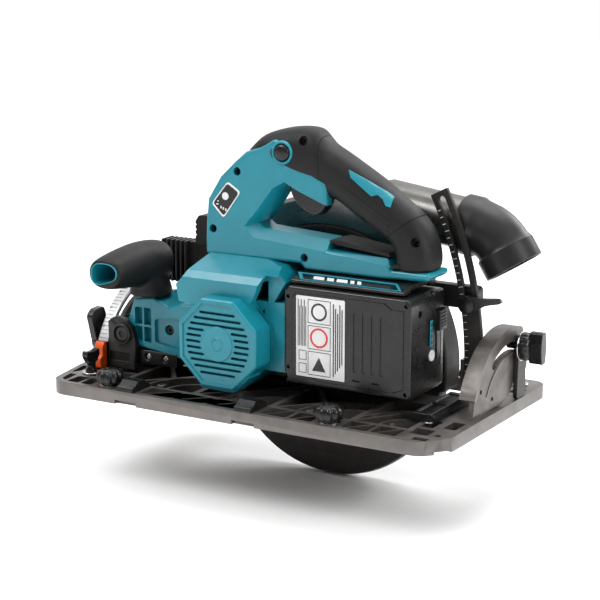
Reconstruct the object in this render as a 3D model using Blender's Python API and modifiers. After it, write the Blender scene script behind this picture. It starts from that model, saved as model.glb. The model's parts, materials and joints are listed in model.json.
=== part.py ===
"""A cordless guide-rail circular saw: base, tilting frame, saw head, gear train, guards and battery.

The origin lies on the sole, in the middle of the base. +X points to the rear, +Y to the blade side, +Z up.
Sizes are in millimetres and are turned into metres as each mesh is made.
"""

import math

import bmesh
import bpy
from mathutils import Matrix, Vector

MM = 0.001
GAP = 0.3
ROUND = 28

BASE_REAR = 205.0
BASE_FRONT = -207.0
BASE_BULGE = 16.0
BASE_SIDE = 117.0
BASE_TOP = 13.0
BASE_FLOOR = 4.5
WINDOW = ((-128.0, 20.0), (152.0, 88.0))

BLADE_RADIUS = 117.5
BLADE_X = 14.0
BLADE_Y = 40.0
BLADE_Z = 35.0
BLADE_THICKNESS = 2.2
BLADE_TEETH = 24
GUARD_RADIUS = 121.5
CASE_RADIUS = 127.0
CASE_INNER_Y = 26.0
CASE_OUTER_Y = 58.0

MOTOR_X = -36.0
MOTOR_Z = 64.0
MOTOR_RADIUS = 46.0
STATOR_RADIUS = 31.0

ROTOR_TEETH = 12
FIRST_TEETH = 39
SECOND_TEETH = 12
SPINDLE_TEETH = 21
FIRST_MODULE = 1.3
SECOND_MODULE = 1.5
PRESSURE_ANGLE = math.radians(20)

DEPTH_X = -171.0
DEPTH_Z = 49.0
GUIDE_INNER = 337.0
GUIDE_OUTER = 355.0
GUIDE_Y = (12.0, 16.8)
CLAMP_ANGLE = 9.5

TILT_Y = BLADE_Y
FRONT_SCALE_RADIUS = 98.0
FRONT_SLOT_RADIUS = 84.0
REAR_BAND_RADIUS = 82.0
REAR_SLOT_RADIUS = 64.0
REAR_STUD = (TILT_Y + 15.5, 62.1)

HANDLE_Y = -20.0
HANDLE_HALF = 20.0

BATTERY_LOW = (21.0, -66.0, 31.0)
BATTERY_HIGH = (151.0, 13.0, 122.0)

DUCT_Y = 45.0
DUCT_RADIUS = 24.5
DUCT_FRONT = (66.0, 184.0)
DUCT_REAR = (157.0, 171.5)

COLOURS = {
    "teal_plastic": ((0.0, 0.33, 0.38), 0.4, 0.0),
    "black_plastic": ((0.015, 0.015, 0.016), 0.45, 0.0),
    "elastomer": ((0.02, 0.02, 0.021), 0.7, 0.0),
    "cast_base": ((0.13, 0.115, 0.105), 0.45, 0.6),
    "dark_casting": ((0.05, 0.047, 0.045), 0.5, 0.5),
    "steel": ((0.55, 0.55, 0.56), 0.3, 1.0),
    "scale_steel": ((0.6, 0.6, 0.6), 0.35, 1.0),
    "orange_plastic": ((0.9, 0.16, 0.02), 0.45, 0.0),
    "screw_steel": ((0.04, 0.04, 0.04), 0.4, 0.9),
    "copper": ((0.7, 0.3, 0.14), 0.35, 1.0),
    "label": ((0.7, 0.7, 0.7), 0.5, 0.0),
}


def clear_scene():
    for old in list(bpy.data.objects):
        bpy.data.objects.remove(old)


def make_collection(name):
    made = bpy.data.collections.new(name)
    bpy.context.scene.collection.children.link(made)
    return made


def make_materials():
    for name, (colour, roughness, metallic) in COLOURS.items():
        made = bpy.data.materials.new(name)
        made.use_nodes = True
        shader = made.node_tree.nodes["Principled BSDF"]
        shader.inputs["Base Color"].default_value = (*colour, 1)
        shader.inputs["Roughness"].default_value = roughness
        shader.inputs["Metallic"].default_value = metallic


clear_scene()
SAW = make_collection("circular_saw")
HELPERS = make_collection("helpers")
HELPERS.hide_render = True
make_materials()


# ------------------------------------------------------------ shape helpers


def put_away(helper):
    """Makes an object a hidden cutter or a piece that a Boolean joins."""
    for used in list(helper.users_collection):
        used.objects.unlink(helper)
    HELPERS.objects.link(helper)
    helper.hide_render = True
    helper.display_type = "WIRE"
    return helper


def shape_from(bm, name="shape"):
    mesh = bpy.data.meshes.new(name)
    bm.to_mesh(mesh)
    bm.free()
    made = bpy.data.objects.new(name, mesh)
    return put_away(made)


def box(low, high):
    bm = bmesh.new()
    bmesh.ops.create_cube(bm, size=1)
    low, high = Vector(low), Vector(high)
    bmesh.ops.scale(bm, vec=(high - low) * MM, verts=bm.verts)
    bmesh.ops.translate(bm, vec=(high + low) * MM / 2, verts=bm.verts)
    return shape_from(bm)


def turn_to(direction):
    return Vector(direction).to_track_quat("Z", "Y").to_matrix().to_4x4()


def rod(start, end, radius, end_radius=None, sides=ROUND):
    """A cylinder or cone from one point to another."""
    start, end = Vector(start) * MM, Vector(end) * MM
    bm = bmesh.new()
    bmesh.ops.create_cone(
        bm, cap_ends=True, segments=sides, depth=(end - start).length,
        radius1=radius * MM, radius2=(radius if end_radius is None else end_radius) * MM,
    )
    bm.transform(Matrix.Translation((start + end) / 2) @ turn_to(end - start))
    return shape_from(bm)


def along_y(x, z, y_low, y_high, radius, sides=ROUND):
    return rod((x, y_low, z), (x, y_high, z), radius, sides=sides)


def ring_along_y(x, z, y_low, y_high, outer, inner, sides=ROUND):
    made = along_y(x, z, y_low, y_high, outer, sides)
    return cut(made, along_y(x, z, y_low - 5, y_high + 5, inner, sides))


PLANES = {
    "X": Matrix(((0, 0, 1), (1, 0, 0), (0, 1, 0))).to_4x4(),
    "Y": Matrix(((1, 0, 0), (0, 0, -1), (0, 1, 0))).to_4x4(),
    "Z": Matrix.Identity(4),
}


def plate(axis, low, high, *outlines):
    """A flat outline, with any holes, given thickness along an axis. The outline's points are (y, z), (x, z)
    or (x, y) for the axes X, Y and Z."""
    curve = bpy.data.curves.new("outline", "CURVE")
    curve.dimensions = "2D"
    curve.fill_mode = "BOTH"
    curve.extrude = (high - low) / 2 * MM
    for outline in outlines:
        spline = curve.splines.new("POLY")
        spline.points.add(len(outline) - 1)
        for point, (u, v) in zip(spline.points, outline):
            point.co = (u * MM, v * MM, 0, 1)
        spline.use_cyclic_u = True
    guide = bpy.data.objects.new("outline", curve)
    bpy.context.scene.collection.objects.link(guide)
    made = mesh_of_curve(guide)
    direction = Vector({"X": (1, 0, 0), "Y": (0, 1, 0), "Z": (0, 0, 1)}[axis])
    made.data.transform(Matrix.Translation(direction * (low + high) / 2 * MM) @ PLANES[axis])
    return made


def mesh_of_curve(guide):
    graph = bpy.context.evaluated_depsgraph_get()
    mesh = bpy.data.meshes.new_from_object(guide.evaluated_get(graph))
    bm = bmesh.new()
    bm.from_mesh(mesh)
    bmesh.ops.remove_doubles(bm, verts=bm.verts, dist=0.000002)
    bmesh.ops.recalc_face_normals(bm, faces=bm.faces)
    bpy.data.objects.remove(guide)
    return shape_from(bm)


def pipe(points, radius, resolution=5):
    """A round rod along a smooth run of points."""
    curve = bpy.data.curves.new("run", "CURVE")
    curve.dimensions = "3D"
    curve.bevel_depth = radius * MM
    curve.bevel_resolution = resolution
    curve.use_fill_caps = True
    spline = curve.splines.new("POLY")
    spline.points.add(len(points) - 1)
    for point, place in zip(spline.points, points):
        point.co = (*(Vector(place) * MM), 1)
    guide = bpy.data.objects.new("run", curve)
    bpy.context.scene.collection.objects.link(guide)
    return mesh_of_curve(guide)


def arc(centre, radius, start, end, steps):
    """Points on an arc, its angles in degrees from the outline's first axis."""
    angles = [math.radians(start + (end - start) * step / steps) for step in range(steps + 1)]
    return [(centre[0] + radius * math.cos(angle), centre[1] + radius * math.sin(angle)) for angle in angles]


def band(centre, inner, outer, start, end, steps=14):
    return arc(centre, outer, start, end, steps) + arc(centre, inner, end, start, steps)


def slot_outline(centre, radius, half_width, start, end, steps=8):
    """A curved slot with round ends."""
    near, far = arc(centre, radius, start, end, 1)
    outer = arc(centre, radius + half_width, start, end, steps)
    inner = arc(centre, radius - half_width, end, start, steps)
    far_cap = arc(far, half_width, end, end + 180, 4)[1:-1]
    near_cap = arc(near, half_width, start + 180, start + 360, 4)[1:-1]
    return outer + far_cap + inner + near_cap


def rounded(points, radius, steps=3):
    """The same outline with its corners rounded."""
    made = []
    count = len(points)
    for index, corner in enumerate(points):
        corner = Vector(corner)
        before = Vector(points[index - 1]) - corner
        after = Vector(points[(index + 1) % count]) - corner
        reach = min(radius, before.length * 0.45, after.length * 0.45)
        start = corner + before.normalized() * reach
        end = corner + after.normalized() * reach
        for step in range(steps + 1):
            t = step / steps
            point = start * (1 - t) ** 2 + corner * 2 * t * (1 - t) + end * t * t
            made.append((point.x, point.y))
    return made


def add_boolean(target, other, operation):
    modifier = target.modifiers.new(operation.lower(), "BOOLEAN")
    modifier.operation = operation
    modifier.solver = "EXACT"
    modifier.object = put_away(other)


def cut(target, *cutters):
    for cutter in cutters:
        add_boolean(target, cutter, "DIFFERENCE")
    return target


def join(target, *others):
    for other in others:
        add_boolean(target, other, "UNION")
    return target


def keep_inside(target, other):
    add_boolean(target, other, "INTERSECT")
    return target


def chamfer(target, width, angle=40):
    modifier = target.modifiers.new("edge", "BEVEL")
    modifier.width = width * MM
    modifier.segments = 1
    modifier.limit_method = "ANGLE"
    modifier.angle_limit = math.radians(angle)
    return target


def body(name, pivot, parent=None):
    """An empty on the joint's axis, which carries the pieces that move with it."""
    empty = bpy.data.objects.new(name + "_axis", None)
    empty.empty_display_size = 10 * MM
    empty.location = Vector(pivot) * MM
    SAW.objects.link(empty)
    bpy.context.view_layer.update()
    if parent:
        empty.parent = parent
        empty.matrix_parent_inverse = parent.matrix_world.inverted()
        bpy.context.view_layer.update()
    return empty


def part(name, made, material, owner):
    """Names a finished shape, gives it its material and hangs it on its body."""
    made.name = name
    made.data.name = name
    made.data.materials.clear()
    made.data.materials.append(bpy.data.materials[material])
    HELPERS.objects.unlink(made)
    SAW.objects.link(made)
    made.hide_render = False
    made.display_type = "TEXTURED"
    made.data.shade_smooth()
    made.data.set_sharp_from_angle(angle=math.radians(32))
    made.parent = owner
    made.matrix_parent_inverse = owner.matrix_world.inverted()
    return made


# ------------------------------------------------------------ gears


def involute(angle):
    return math.tan(angle) - angle


def gear_outline(teeth, module, centre, first_tooth, thinning=0.12):
    """An involute gear's outline in the XZ plane; first_tooth is a tooth's middle angle in radians."""
    pitch = teeth * module / 2
    base = pitch * math.cos(PRESSURE_ANGLE)
    radii = (pitch - 1.2 * module, max(base, pitch - 0.6 * module), pitch, pitch + 0.85 * module)
    half_at_pitch = math.pi / (2 * teeth) * (1 - thinning)
    halves = []
    for radius in radii:
        roll = math.acos(min(1.0, base / radius))
        halves.append(half_at_pitch + involute(PRESSURE_ANGLE) - involute(roll))
    points = []
    for tooth in range(teeth):
        middle = first_tooth + 2 * math.pi * tooth / teeth
        for side, order in ((-1, (0, 1, 2, 3)), (1, (3, 2, 1, 0))):
            for index in order:
                angle = middle + side * halves[index]
                x = centre[0] + radii[index] * math.cos(angle)
                z = centre[1] + radii[index] * math.sin(angle)
                points.append((x, z))
    return points


def intermediate_axis():
    """Where the intermediate gear sits, from its two centre distances."""
    to_motor = (ROTOR_TEETH + FIRST_TEETH) * FIRST_MODULE / 2
    to_blade = (SECOND_TEETH + SPINDLE_TEETH) * SECOND_MODULE / 2
    motor = Vector((MOTOR_X, MOTOR_Z))
    blade = Vector((BLADE_X, BLADE_Z))
    line = blade - motor
    along = (line.length_squared + to_motor**2 - to_blade**2) / (2 * line.length)
    aside = math.sqrt(max(0.0, to_motor**2 - along**2))
    unit = line.normalized()
    point = motor + unit * along + Vector((-unit.y, unit.x)) * aside
    return point.x, point.y


MIDDLE_X, MIDDLE_Z = intermediate_axis()
FIRST_STAGE_Y = (3.0, 9.0)
SECOND_STAGE_Y = (11.0, 20.0)


def mesh_phase(centre, other, teeth):
    """The first-tooth angle that puts a tooth space towards the other gear."""
    towards = math.atan2(other[1] - centre[1], other[0] - centre[0])
    return towards + math.pi / teeth


def tooth_towards(centre, other):
    return math.atan2(other[1] - centre[1], other[0] - centre[0])


# ------------------------------------------------------------ base


def base_outline():
    front = BASE_FRONT
    return [
        (BASE_REAR - 19, -BASE_SIDE), (BASE_REAR, -BASE_SIDE + 22), (BASE_REAR, BASE_SIDE - 8),
        (BASE_REAR - 8, BASE_SIDE), (front + 8, BASE_SIDE), (front - 3, BASE_SIDE - 8),
        (front - BASE_BULGE + 3, 55), (front - BASE_BULGE, 0), (front - BASE_BULGE + 3, -55),
        (front - 3, -BASE_SIDE + 8), (front + 8, -BASE_SIDE),
    ]


def base_plate():
    made = plate("Z", 0, BASE_TOP, base_outline())
    (x0, y0), (x1, y1) = WINDOW
    cut(made, box((x0, y0, -5), (x1, y1, 30)))
    pockets = [(-196, -150), (-144, -66), (-60, 18), (24, 102), (108, 160)]
    for low, high in pockets:
        cut(made, box((low, -86, BASE_FLOOR), (high, -10, 30)))
    cut(made, box((-196, 94, BASE_FLOOR), (-20, 111, 30)))
    cut(made, box((-12, 94, BASE_FLOOR), (176, 111, 30)))
    groove_y = -98
    cut(made, box((-240, groove_y - 8, -5), (240, groove_y + 8, 2.5)))
    for x in (-148, 91):
        cut(made, rod((x, -103, -5), (x, -103, 30), 3.4, sides=16))
    for x, y in ((-190, -77), (184.5, 96)):
        cut(made, rod((x, y, -5), (x, y, 30), 3.4, sides=16))
    return part("base_plate", made, "cast_base", BASE)


def front_quadrant():
    centre = (TILT_Y, 0)
    outline = [(-50, BASE_TOP + GAP), (-50, 27)] + arc(centre, 95.0, 163.5, 104, 12)
    outline += [(18, 78), (8, 62), (-8, 40), (-12, BASE_TOP + GAP)]
    made = plate("X", -199, -194, outline)
    cut(made, plate("X", -210, -180, slot_outline(centre, FRONT_SLOT_RADIUS, 4.2, 110, 158.5)))
    join(made, box((-199.5, -49, BASE_TOP + GAP + 0.1), (-189.5, -14, 18)))
    return part("front_quadrant", made, "dark_casting", BASE)


def bevel_scale():
    made = plate("X", -201, -189.5, band((TILT_Y, 0), 95.3, FRONT_SCALE_RADIUS, 157, 104, 14))
    return part("bevel_scale", made, "scale_steel", BASE)


def rear_lug():
    y, z = REAR_STUD
    outline = [(y - 9, BASE_TOP + GAP), (y - 7, z + 9), (y + 7, z + 9), (y + 9, BASE_TOP + GAP)]
    made = plate("X", 200.3, 204.6, rounded(outline, 3, 2))
    cut(made, rod((190, y, z), (210, y, z), 3.9, sides=16))
    return part("rear_lug", made, "dark_casting", BASE)


def rail_shoe(name, x):
    made = box((x - 8, -117, BASE_TOP + GAP), (x + 8, -88, 19))
    join(made, box((x - 5, -112, 18), (x + 5, -92, 22)))
    return part(name, made, "black_plastic", BASE)


def rear_cross_bar():
    made = box((160, -46, BASE_TOP + GAP), (178, 16, 21))
    return part("rear_cross_bar", chamfer(made, 2), "black_plastic", BASE)


def bevel_stop():
    outline = [(-61, 13.4), (-62, 34), (-56, 40), (-51.2, 38), (-51.2, 13.4)]
    made = plate("X", -200, -190, rounded(outline, 3, 2))
    return part("bevel_stop", made, "orange_plastic", BASE)


# ------------------------------------------------------------ tilting frame


def front_bracket():
    made = box((-188.4, -50, 14), (-182, 26, 60))
    cheek = rounded([(-188.4, 14), (-158, 14), (-156, 40), (-162, 56), (-172, 64), (-188.4, 62)], 4, 2)
    join(made, plate("Y", -50, -44, cheek))
    join(made, plate("Y", 20, 26, cheek))
    cut(made, along_y(DEPTH_X, DEPTH_Z, -60, 40, 4.3, 20))
    bolt_y, bolt_z = arc((TILT_Y, 0), FRONT_SLOT_RADIUS, 156, 157, 1)[0]
    cut(made, rod((-200, bolt_y, bolt_z), (-170, bolt_y, bolt_z), 3.9, sides=16))
    return part("front_bracket", made, "dark_casting", TILT)


def depth_pivot_pin():
    made = along_y(DEPTH_X, DEPTH_Z, -54, 31, 4.0, 20)
    join(made, along_y(DEPTH_X, DEPTH_Z, -56, -50.3, 8, 20))
    join(made, along_y(DEPTH_X, DEPTH_Z, 26.3, 30, 7, 20))
    return part("depth_pivot_pin", made, "screw_steel", TILT)


def depth_guide():
    centre = (DEPTH_X, DEPTH_Z)
    made = plate("Y", *GUIDE_Y, band(centre, GUIDE_INNER, GUIDE_OUTER, -3.5, 27, 22))
    middle = (GUIDE_INNER + GUIDE_OUTER) / 2
    cut(made, plate("Y", 5, 25, slot_outline(centre, middle, 3.4, 8.7, 25.7, 12)))
    return part("depth_guide", made, "dark_casting", TILT)


def rear_quadrant():
    """The rear tilting bracket, whose band and slot run about the tilt axis; it carries the depth guide."""
    centre = (TILT_Y, 0)
    outline = [(-38, 17), (22, 14), (40, 20), (62, 42), (69, 56)]
    outline += arc(centre, REAR_BAND_RADIUS - 1, 70, 156, 12)
    made = plate("X", 194.5, 199.5, outline)
    join(made, plate("X", 184.5, 200, band(centre, REAR_BAND_RADIUS - 4, REAR_BAND_RADIUS, 72, 158, 12)))
    join(made, box((160, 17.3, 28), (196, 25, 52)))
    cut(made, plate("X", 170, 210, slot_outline(centre, REAR_SLOT_RADIUS, 4.2, 74, 123)))
    return part("rear_quadrant", made, "cast_base", TILT)


# ------------------------------------------------------------ saw head


def case_chord(radius, y_low, y_high, low_z=15.0):
    """The part of a disc about the blade's axis that lies above the base."""
    start = math.degrees(math.asin((low_z - BLADE_Z) / radius))
    return plate("Y", y_low, y_high, arc((BLADE_X, BLADE_Z), radius, start, 180 - start, 30))


def blade_case():
    made = case_chord(CASE_RADIUS, CASE_INNER_Y, 55)
    cut(made, along_y(BLADE_X, BLADE_Z, CASE_INNER_Y + 2.6, 70, CASE_RADIUS - 3, 40))
    join(made, box((-164, 6, 92), (-96, 27.5, 135)))
    join(made, box((118, 17.2, 100), (177, 27.5, 121)))
    cut(made, along_y(BLADE_X, BLADE_Z, 28.6, 70, CASE_RADIUS - 3.2, 40))
    join(made, along_y(BLADE_X, BLADE_Z, 27, 33, 20))
    cut(made, along_y(BLADE_X, BLADE_Z, 0, 60, 11.5))
    angle = math.radians(CLAMP_ANGLE)
    middle = (GUIDE_INNER + GUIDE_OUTER) / 2
    x, z = DEPTH_X + middle * math.cos(angle), DEPTH_Z + middle * math.sin(angle)
    cut(made, along_y(x, z, 10, 40, 3.3, 16))
    cut(made, box((62, 30, 120), (92, 53, 190)))
    return part("blade_case", made, "dark_casting", HEAD)


def blade_case_cover():
    made = case_chord(CASE_RADIUS, 55.3, CASE_OUTER_Y, 30.0)
    cut(made, along_y(BLADE_X, BLADE_Z, 50, 70, 34))
    cut(made, box((-20, 50, 0), (48, 70, 36)))
    return part("blade_case_cover", made, "dark_casting", HEAD)


HOUSING = [
    (-80, 38), (-56, 22), (-30, 15.5), (30, 15.5), (36, 38), (28, 56), (8, 88), (-14, 104), (-60, 104),
    (-82, 84),
]


def offset(outline, distance):
    """The outline moved outwards by a distance, or inwards when it is negative."""
    made = []
    count = len(outline)
    for index in range(count):
        before, here, after = (Vector(outline[i % count]) for i in (index - 1, index, index + 1))
        first = (here - before).normalized()
        second = (after - here).normalized()
        normals = Vector((first.y, -first.x)), Vector((second.y, -second.x))
        middle = (normals[0] + normals[1]).normalized()
        reach = distance / max(0.35, middle.dot(normals[0]))
        point = here + middle * reach
        made.append((point.x, point.y))
    return made


def gear_housing():
    made = plate("Y", 1, 25.7, HOUSING)
    arm = [(-178, 41), (-120, 30), (-70, 26), (-70, 80), (-120, 78), (-178, 57)]
    join(made, plate("Y", 5, 19.2, arm), along_y(DEPTH_X, DEPTH_Z, 4.9, 19.6, 10.4))
    cut(made, plate("Y", -5, 22.3, offset(HOUSING, -2.4)))
    cut(made, along_y(DEPTH_X, DEPTH_Z, 0, 30, 4.3, 20))
    cut(made, along_y(BLADE_X, BLADE_Z, 0, 40, 14.2))
    cut(made, along_y(MIDDLE_X, MIDDLE_Z, 0, 24, 3.4, 16))
    return part("gear_housing", made, "dark_casting", HEAD)


def gear_cover():
    made = plate("Y", -2, 0.7, offset(HOUSING, -0.4))
    cut(made, along_y(MOTOR_X, MOTOR_Z, -10, 10, 9.3))
    cut(made, along_y(MIDDLE_X, MIDDLE_Z, -10, 10, 3.4, 16))
    return part("gear_cover", made, "steel", HEAD)


def octagon(radius, centre=(MOTOR_X, MOTOR_Z), flat=22.5):
    return arc(centre, radius, flat, flat + 315, 7)


UPPER_BLOCK = [(-92, 96), (-96, 118), (-84, 133), (-12, 138.3), (14, 134), (22, 122), (8, 100), (-8, 92)]


def motor_housing():
    made = plate("Y", -62, -2.3, octagon(MOTOR_RADIUS))
    join(made, chamfer(plate("Y", -74, -3.3, UPPER_BLOCK[::-1]), 3))
    join(made, box((-2, -60, 60), (20.5, -4.3, 103)))
    cut(made, along_y(MOTOR_X, MOTOR_Z, -80, -4.8, 36))
    cut(made, along_y(MOTOR_X, MOTOR_Z, -20, 10, 30))
    cut(made, plate("Y", -80, -62.05, octagon(MOTOR_RADIUS - 0.6)))
    cut(made, box((-78, -68, 103), (2, -10, 129)))
    cut(made, box((-60, -50, 90), (-20, -20, 110)))
    return part("motor_housing", made, "teal_plastic", HEAD)


def motor_cap():
    made = chamfer(plate("Y", -90, -62.3, octagon(MOTOR_RADIUS - 1)), 3)
    cut(made, along_y(MOTOR_X, MOTOR_Z, -84, -50, 36))
    slots = 9
    for index in range(slots):
        z = MOTOR_Z + (index - (slots - 1) / 2) * 6.2
        reach = math.sqrt(33**2 - (z - MOTOR_Z) ** 2)
        blank = 17.0 if abs(z - MOTOR_Z) < 18 else 0.0
        if blank:
            cut(made, box((MOTOR_X - reach, -95, z - 1.3), (MOTOR_X - blank, -80, z + 1.3)))
            cut(made, box((MOTOR_X + blank, -95, z - 1.3), (MOTOR_X + reach, -80, z + 1.3)))
        else:
            cut(made, box((MOTOR_X - reach, -95, z - 1.3), (MOTOR_X + reach, -80, z + 1.3)))
    join(made, along_y(MOTOR_X, MOTOR_Z, -91.5, -85, 9, 20))
    cut(made, along_y(MOTOR_X, MOTOR_Z, -84.5, -50, 7.2, 20))
    return part("motor_cap", made, "teal_plastic", HEAD)


ARM_SCREW = (-123.0, 57.0)


def front_arm():
    outline = [(-160, 36), (-90, 28), (-83, 34), (-83, 80), (-104, 84), (-140, 88), (-160, 84), (-172, 62)]
    made = plate("Y", -43, 4.6, outline)
    join(made, along_y(DEPTH_X, DEPTH_Z, -43, 4.6, 10.4))
    cut(made, along_y(DEPTH_X, DEPTH_Z, -60, 30, 4.3, 20))
    cut(made, box((-160, -60, 46), (-142, -20, 73)))
    cut(made, along_y(*ARM_SCREW, -60, -10, 3.2, 16))
    return part("front_arm", made, "teal_plastic", HEAD)


def arm_screw():
    made = along_y(*ARM_SCREW, -44, -12, 2.6, 12)
    join(made, along_y(*ARM_SCREW, -46, -43.3, 6.0, 16))
    cut(made, along_y(*ARM_SCREW, -60, -44.5, 2.4, 6))
    return part("arm_screw", made, "screw_steel", HEAD)


def stator():
    made = ring_along_y(MOTOR_X, MOTOR_Z, -52, -12, STATOR_RADIUS, 17.5)
    for index in range(6):
        angle = math.radians(60 * index + 30)
        x, z = MOTOR_X + 22 * math.cos(angle), MOTOR_Z + 22 * math.sin(angle)
        cut(made, along_y(x, z, -60, 0, 3.6, 10))
    return part("stator", made, "copper", HEAD)


def bearing(name, x, z, y_low, y_high, outer, inner):
    return part(name, ring_along_y(x, z, y_low, y_high, outer, inner, 24), "steel", HEAD)


def controller_board():
    return part("controller_board", box((-74, -64, 112), (-6, -14, 120)), "black_plastic", HEAD)


TEAL_LOOP = [
    (-80, 140.4), (-79, 171), (-63, 211), (-46, 232.7), (-22, 225.6), (0, 220.4), (46, 204), (46, 195.5),
    (16, 203), (-8, 204), (-17, 172), (-30, 163), (60, 157), (112, 151), (118, 140.8), (158, 140),
    (150, 134), (106, 131.5), (28, 131.5), (24, 139.5),
]
GRIP = [
    (-46, 233), (-22, 246), (4, 255), (35, 261), (59, 251), (107, 219), (141, 194), (160, 168), (164, 152),
    (157, 140.6), (118.3, 141.2), (112.3, 151.3), (100, 170), (80, 187), (62, 196), (47.5, 197.5),
    (47.5, 206.5), (0, 223), (-22, 228),
]
CORE = [
    (-58, 214), (-46, 227), (-20, 240), (6, 249), (33, 255), (55, 245), (103, 213), (136, 189), (154, 166),
    (157, 154), (150, 136), (124, 136), (118, 152), (104, 174), (84, 191), (66, 200), (46, 203), (0, 216),
    (-30, 214),
]
BUTTON_AXIS = (5.0, 238.0)


def loop_solid():
    teal = plate("Y", HANDLE_Y - HANDLE_HALF, HANDLE_Y + HANDLE_HALF, TEAL_LOOP)
    join(teal, plate("Y", HANDLE_Y - 15, HANDLE_Y + 15, CORE))
    cut(teal, box((1, HANDLE_Y - 9, 190), (52, HANDLE_Y + 9, 222.5)))
    cut(teal, box((14.5, HANDLE_Y - 11, 222), (46, HANDLE_Y + 11, 243)))
    cut(teal, along_y(*BUTTON_AXIS, -60, 20, 8.4, 24))
    return teal


def handle_shells():
    left = keep_inside(loop_solid(), box((-200, -60, 100), (200, HANDLE_Y - GAP / 2, 300)))
    right = keep_inside(loop_solid(), box((-200, HANDLE_Y + GAP / 2, 100), (200, 20, 300)))
    part("handle_left_shell", left, "teal_plastic", HEAD)
    part("handle_right_shell", right, "teal_plastic", HEAD)


def handle_grip():
    made = chamfer(plate("Y", HANDLE_Y - HANDLE_HALF, HANDLE_Y + HANDLE_HALF, GRIP), 6, 30)
    cut(made, plate("Y", HANDLE_Y - 15.3, HANDLE_Y + 15.3, offset(CORE[::-1], 0.35)))
    cut(made, along_y(*BUTTON_AXIS, -60, 20, 8.4, 24))
    return part("handle_grip", made, "elastomer", HEAD)


def switch_module():
    made = box((16.5, HANDLE_Y - 10, 224.5), (44, HANDLE_Y + 10, 241))
    return part("switch_module", made, "black_plastic", HEAD)


def control_panel():
    made = plate("Y", -41.5, -40.3, rounded([(-72, 185), (-54, 207), (-40, 198), (-59, 172)], 2, 2))
    return part("control_panel", made, "black_plastic", HEAD)


def front_grip():
    start, end = (-166, -85, 113), (-150, -2, 118)
    core = rod(start, end, 15.5)
    join(core, box((-154, -40, 89.2), (-132, -16, 112)))
    cut(core, rod((-167.2, -91, 112.6), (-154, -25, 117.2), 12.8))
    part("front_grip_core", core, "teal_plastic", HEAD)
    cover = rod((-165.6, -83, 113.1), (-150.3, -4, 117.9), 19.5)
    join(cover, box((-162, -48, 89.2), (-126, -8, 112)))
    cut(cover, rod((-168, -95, 112.4), (-148, 8, 118.6), 15.9))
    cut(cover, box((-154.3, -40.3, 80), (-131.7, -15.7, 112.5)))
    part("front_grip_cover", cover, "elastomer", HEAD)


def dust_duct():
    start = (DUCT_FRONT[0], DUCT_Y, DUCT_FRONT[1])
    end = (DUCT_REAR[0], DUCT_Y, DUCT_REAR[1])
    made = rod(start, end, DUCT_RADIUS)
    chamber = [(-62, 130), (-53, 168), (-38, 182), (0, 192), (40, 200), (70, 206), (97, 176), (97, 140)]
    join(made, plate("Y", 29, 54, chamber[::-1]), box((56, 28, 120), (98, 55, 178)))
    cut(made, along_y(BLADE_X, BLADE_Z, 0, 80, CASE_RADIUS + GAP, 48))
    step = (Vector(end) - Vector(start)).normalized()
    cut(made, rod(Vector(start) + step * 4, Vector(end) + step * 9, DUCT_RADIUS - 3))
    cut(made, box((63, 31, 100), (91, 52, 180)))
    return part("dust_duct", made, "black_plastic", HEAD)


def battery_socket():
    made = box((24, -58, 122.6), (140, 6, 131))
    cut(made, box((30, -46, 120), (150, -6, 126)))
    return part("battery_socket", made, "black_plastic", HEAD)


def spanner_holder():
    made = chamfer(box((-110, -12, 138), (-80.5, 8, 166)), 2)
    return part("spanner_holder", made, "elastomer", HEAD)


def handle_screws():
    places = {"upper": (-44, 217), "bar": (28, 143)}
    for name, (x, z) in places.items():
        face = -40.3
        made = along_y(x, z, face - 1.2, face, 3.6, 12)
        part("handle_screw_" + name, made, "screw_steel", HEAD)


# ------------------------------------------------------------ blade train


def saw_blade():
    tooth = ((0, 0), (2.2, 0.6), (4.0, 9), (12.5, 3))
    outline = []
    for index in range(BLADE_TEETH):
        for step, depth in tooth:
            angle = 360 * index / BLADE_TEETH + step
            outline += arc((BLADE_X, BLADE_Z), BLADE_RADIUS - depth, angle, angle, 1)[:1]
    low = BLADE_Y - BLADE_THICKNESS / 2
    made = plate("Y", low, low + BLADE_THICKNESS, outline)
    cut(made, along_y(BLADE_X, BLADE_Z, 30, 50, 7.4, 20))
    return part("saw_blade", made, "steel", BLADE)


def spindle():
    made = along_y(BLADE_X, BLADE_Z, 10.6, 44.8, 7, 20)
    centre = (BLADE_X, BLADE_Z)
    teeth = gear_outline(SPINDLE_TEETH, SECOND_MODULE, centre, tooth_towards(centre, (MIDDLE_X, MIDDLE_Z)))
    join(made, plate("Y", *SECOND_STAGE_Y, teeth))
    cut(made, along_y(BLADE_X, BLADE_Z, 32, 60, 4.1, 16))
    return part("spindle_gear", made, "steel", BLADE)


def flanges():
    part("inner_flange", ring_along_y(BLADE_X, BLADE_Z, 34.4, 38.6, 24, 7.4), "steel", BLADE)
    part("outer_flange", ring_along_y(BLADE_X, BLADE_Z, 41.4, 45.2, 24, 7.4), "steel", BLADE)


def blade_bolt():
    made = along_y(BLADE_X, BLADE_Z, 47, 53, 8.5, 6)
    join(made, along_y(BLADE_X, BLADE_Z, 45.5, 47.5, 11, 20), along_y(BLADE_X, BLADE_Z, 34, 46, 3.7, 16))
    return part("blade_bolt", made, "screw_steel", BLADE)


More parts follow.
